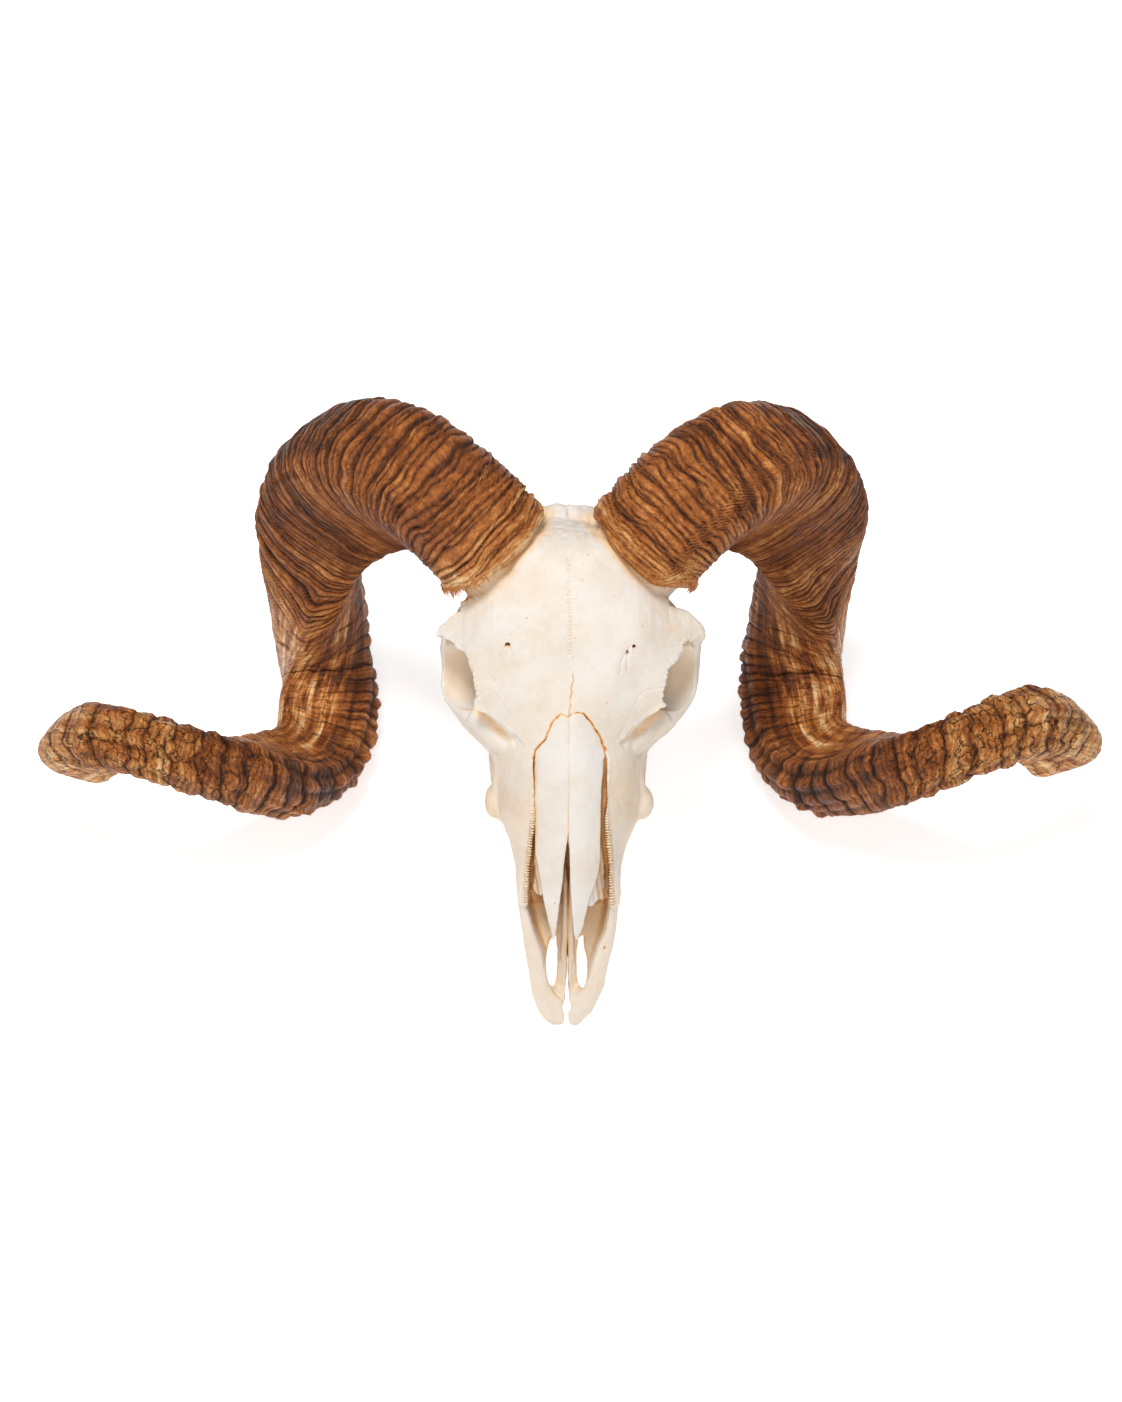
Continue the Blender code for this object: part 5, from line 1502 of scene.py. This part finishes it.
# Each line with the depth and half width of its groove, and its stain.
skull_lines = [(MIDLINE, 0.18, 0.5, 0.12), (MIDCRACK, 0.5, 0.28, 0.85), (NOSE_SEAM, 0.0, 0.8, 0.9)]
skull_lines += [(line, 0.3, 0.5, 0.08) for line in TEAR_SEAMS]
skull_lines += [(line, 0.5, 0.8, 0.04) for line in VESSEL_GROOVES]
skull_lines += [(line, 0.2, 0.3, 0.10) for line in CHEEK_CRACKS]
marked(skull, 40, skull_lines, skull_marks)
nasal_lines = [(NOSE_SEAM, 0.0, 0.7, 0.5), ([(-7.5, -143.5), (-7.4, -143.4)], 0.6, 0.5, 0.7)]
muzzle_lines = [([(-8.5, -190.5), (-6.6, -192.6), (-5, -195.2), (-3.6, -197.4)], 0.8, 0.5, 0.45),
                ([(19, -167.5), (18.9, -168.5)], 0.8, 0.7, 0.9),
                ([(-22, -172), (-19.5, -173.2)], 0.3, 0.3, 0.3),
                ([(18.3, -170), (16.5, -180), (15, -190)], 0.0, 1.3, 0.22)]
for bone, seed in zip(nasal_bones, (50, 60)):
    marked(bone, seed, nasal_lines, nasal_marks)
for bone, seed in zip(muzzle_bones, (70, 80)):
    divided(bone, [([(0, -195), (0, -210)], -70)], 9, 0.45, 1)
    marked(bone, seed, muzzle_lines, muzzle_marks)
for bone, seed in zip(scrolls, (90, 95)):
    marked(bone, seed)
print("lines marked:", len(skull_lines) + len(nasal_lines) + len(muzzle_lines))

# %% [markdown]
# Dried bone keeps a brown where no hand can reach: inside the nose, the skull's base and the folds behind
# the horns. The finish paints those places, and every other hollow, tan to brown by how little of the room
# they see, which is painted shade as well as that brown. How open each point is to the room is measured
# with rays and stored on the mesh, so that the finish can use it anywhere, and stays put when the view
# changes.

# %% Hollows
RAYS, SKY_REACH, RAY_START = 26, 0.026, 0.0004


def even_rays(count):
    """Directions spread evenly over a ball."""
    rows = np.arange(count) + 0.5
    lift, turn = 1 - 2 * rows / count, rows * math.pi * (1 + 5 ** 0.5)
    flat = np.sqrt(1 - lift ** 2)
    return np.column_stack([flat * np.cos(turn), flat * np.sin(turn), lift])


def openness(objects, reach):
    """Stores on each object how much of the sky within reach its points see, 0 to 1."""
    points, faces = [], []
    count = 0
    for obj in objects + horns:
        mesh = obj.data
        points.append(read_points(mesh))
        mesh.calc_loop_triangles()
        corners = np.empty(len(mesh.loop_triangles) * 3, np.int32)
        mesh.loop_triangles.foreach_get("vertices", corners)
        faces.append(corners.reshape(-1, 3) + count)
        count += len(mesh.vertices)
    tree = BVHTree.FromPolygons(np.concatenate(points).tolist(), np.concatenate(faces).tolist(),
                                all_triangles=True)
    rays = even_rays(RAYS)
    arrows = [Vector(r) for r in rays]
    for obj, own in zip(objects, points):
        mesh = obj.data
        normals = read_normals(mesh)
        facing = normals @ rays.T
        starts = own + normals * RAY_START
        seen = np.zeros(len(own))
        cast = tree.ray_cast
        for i, (start, dots) in enumerate(zip(starts.tolist(), facing)):
            origin, got, total = Vector(start), 0.0, 0.0
            for k in np.nonzero(dots > 0.2)[0]:
                hit = cast(origin, arrows[k], reach)[3]
                total += dots[k]
                got += dots[k] * (1.0 if hit is None else hit / reach)
            seen[i] = got / max(total, 1e-6)
        edges = np.empty(len(mesh.edges) * 2, np.int32)
        mesh.edges.foreach_get("vertices", edges)
        edges = edges.reshape(-1, 2)
        share = np.bincount(edges.ravel(), minlength=len(seen)) + 1.0
        for _ in range(3):
            near = np.bincount(edges[:, 0], seen[edges[:, 1]], len(seen))
            near += np.bincount(edges[:, 1], seen[edges[:, 0]], len(seen))
            seen = (near + seen) / share
        told(mesh, "open", seen)
        print(obj.name, "openness", np.round(np.percentile(seen, (5, 50, 95)), 2))


bones = [skull] + nasal_bones + muzzle_bones + scrolls
for bone in bones:
    placed = in_room(read_points(bone.data) / MM)
    placed[:, 2] = np.maximum(placed[:, 2], 0)
    write_points(bone.data, placed)
    bone.data.shade_smooth()
openness(bones, SKY_REACH)

# %% [markdown]
# Bleached bone is off-white with a breath of pink and yellow, brown in its cracks, chalky rather than
# glossy. Its hollows turn tan and brown by how little of the room they see, which is painted shade as well
# as the brown of dried tissue, and the shaded eye sockets get painted light. The finish mixes those from the
# stored marks and from noise at three scales; a bump adds the finest pits, which are too small to model. In a
# bright, white room bone looks almost white, though it gives back only two thirds of the light: a paler
# colour would lose its shading.

# %% Bone material
bone_paint = Paint("bone")
spot = bone_paint.add("ShaderNodeTexCoord", output=3)
cloud = bone_paint.noise(spot, 38, 4, 0.6)
grain = bone_paint.noise(spot, 260, 5, 0.65)
pits = bone_paint.noise(spot, 900, 3, 0.6)
streaks = bone_paint.streaks(spot, (420, 60, 60), 4, 0.6)
stain, sky = bone_paint.reading("stain"), bone_paint.reading("open")
BONE_RAMP = ((0.30, (213, 208, 203)), (0.47, (213, 206, 198)),
             (0.58, (210, 200, 188)), (0.74, (205, 190, 171)))
pale = bone_paint.ramp(cloud * 0.75 + grain * 0.3, BONE_RAMP)
# Painted shade: the less of the room a point sees, the more tan and then brown (deep) its colour, mixed with
# the real brown of dried tissue inside the nose.
shut = 1 - sky
hollow_tan_and_shade = bone_paint.between(shut + (cloud - 0.5) * 0.22 + (streaks - 0.5) * 0.10, 0.09, 0.42)
deep = bone_paint.between(shut + (grain - 0.5) * 0.12, 0.48, 0.76)
colour = bone_paint.blend(hollow_tan_and_shade * 0.85, pale, srgb(226, 191, 143))
colour = bone_paint.blend(deep * 0.9, colour, srgb(172, 108, 52))
# Yellow to brown from the stored stain: real stains and dirt, and the painted shade inside the nose, on the
# nasal bones' edges, in the pleats' valleys and beside the horns' rims.
yellow = bone_paint.between(stain, 0.02, 0.35)
brown = bone_paint.between(stain + (grain - 0.5) * 0.2, 0.35, 0.8)
colour = bone_paint.blend(yellow * 0.7, colour, srgb(220, 180, 124))
colour = bone_paint.blend(brown, colour, srgb(186, 118, 52))
# Painted light: the shaded eye sockets and tear troughs, below 0 on the stain, are painted paler than the
# other bone.
painted_socket_light = bone_paint.between(stain, -0.02, -0.4)
colour = bone_paint.blend(painted_socket_light * 0.9, colour, srgb(240, 218, 190))
specks = bone_paint.between(pits, 0.68, 0.76) * bone_paint.between(cloud, 0.48, 0.62)
colour = bone_paint.blend(specks * 0.35, colour, srgb(188, 150, 108))
dimples = grain * 0.5 + pits * 0.35 + streaks * 0.3 - specks * 0.6
bone_paint.finish(colour, 0.58 + (grain - 0.5) * 0.3, dimples, 0.7, 0.0005)
for bone in bones:
    bone.data.materials.clear()
    bone.data.materials.append(bone_paint.material)
    bone.data.polygons.foreach_set("material_index", np.zeros(len(bone.data.polygons), np.int32))
print("bone material nodes:", len(bone_paint.nodes))

# %% [markdown]
# The floor carries the object in the photograph's plain white room. A photographer lights such a table from
# below, so that shadows all but vanish: here the floor's own material gives a little light. Too much of it
# would flatten the bone, so it does only what keeps the ground white.

# %% Floor
FLOOR_HALF, FLOOR_GLOW = 6, 0.55
floor_mesh = bpy.data.meshes.new("floor")
floor_mesh.from_pydata([(x * FLOOR_HALF, y * FLOOR_HALF, 0) for x, y in ((-1, -1), (1, -1), (1, 1), (-1, 1))],
                       [], [(0, 1, 2, 3)])
floor = shown("floor", floor_mesh)
floor_paint = Paint("floor")
for key, value in (("Base Color", (0.95, 0.95, 0.95)), ("Roughness", 0.9),
                   ("Emission Color", (1, 1, 1)), ("Emission Strength", FLOOR_GLOW)):
    floor_paint.feed(floor_paint.shader.inputs[key], value)
floor_mesh.materials.append(floor_paint.material)
print("floor, m across:", 2 * FLOOR_HALF)

# %% [markdown]
# A skull without its jaw is one rigid thing, so every piece rides the one body of the part. Each finer
# piece takes the place of a plain solid. The large bone takes the place of two, because braincase and
# upper jaw have grown together, and the scrolls and the fibres add what the solids leave out.

# %% Hand over
for horn, node in zip(horns, ("horn_left", "horn_right")):
    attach(horn, "root")
    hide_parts(node)
for tuft in frays:
    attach(tuft, "root")
for bone in bones:
    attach(bone, "root")
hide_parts("cranium", "maxilla")
PLATES = ("nasal_left", "nasal_right", "premaxilla_left", "premaxilla_right")
for bone, node in zip(nasal_bones + muzzle_bones, PLATES):
    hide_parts(node)
print("pieces:", [piece.name for piece in horns + frays + bones])
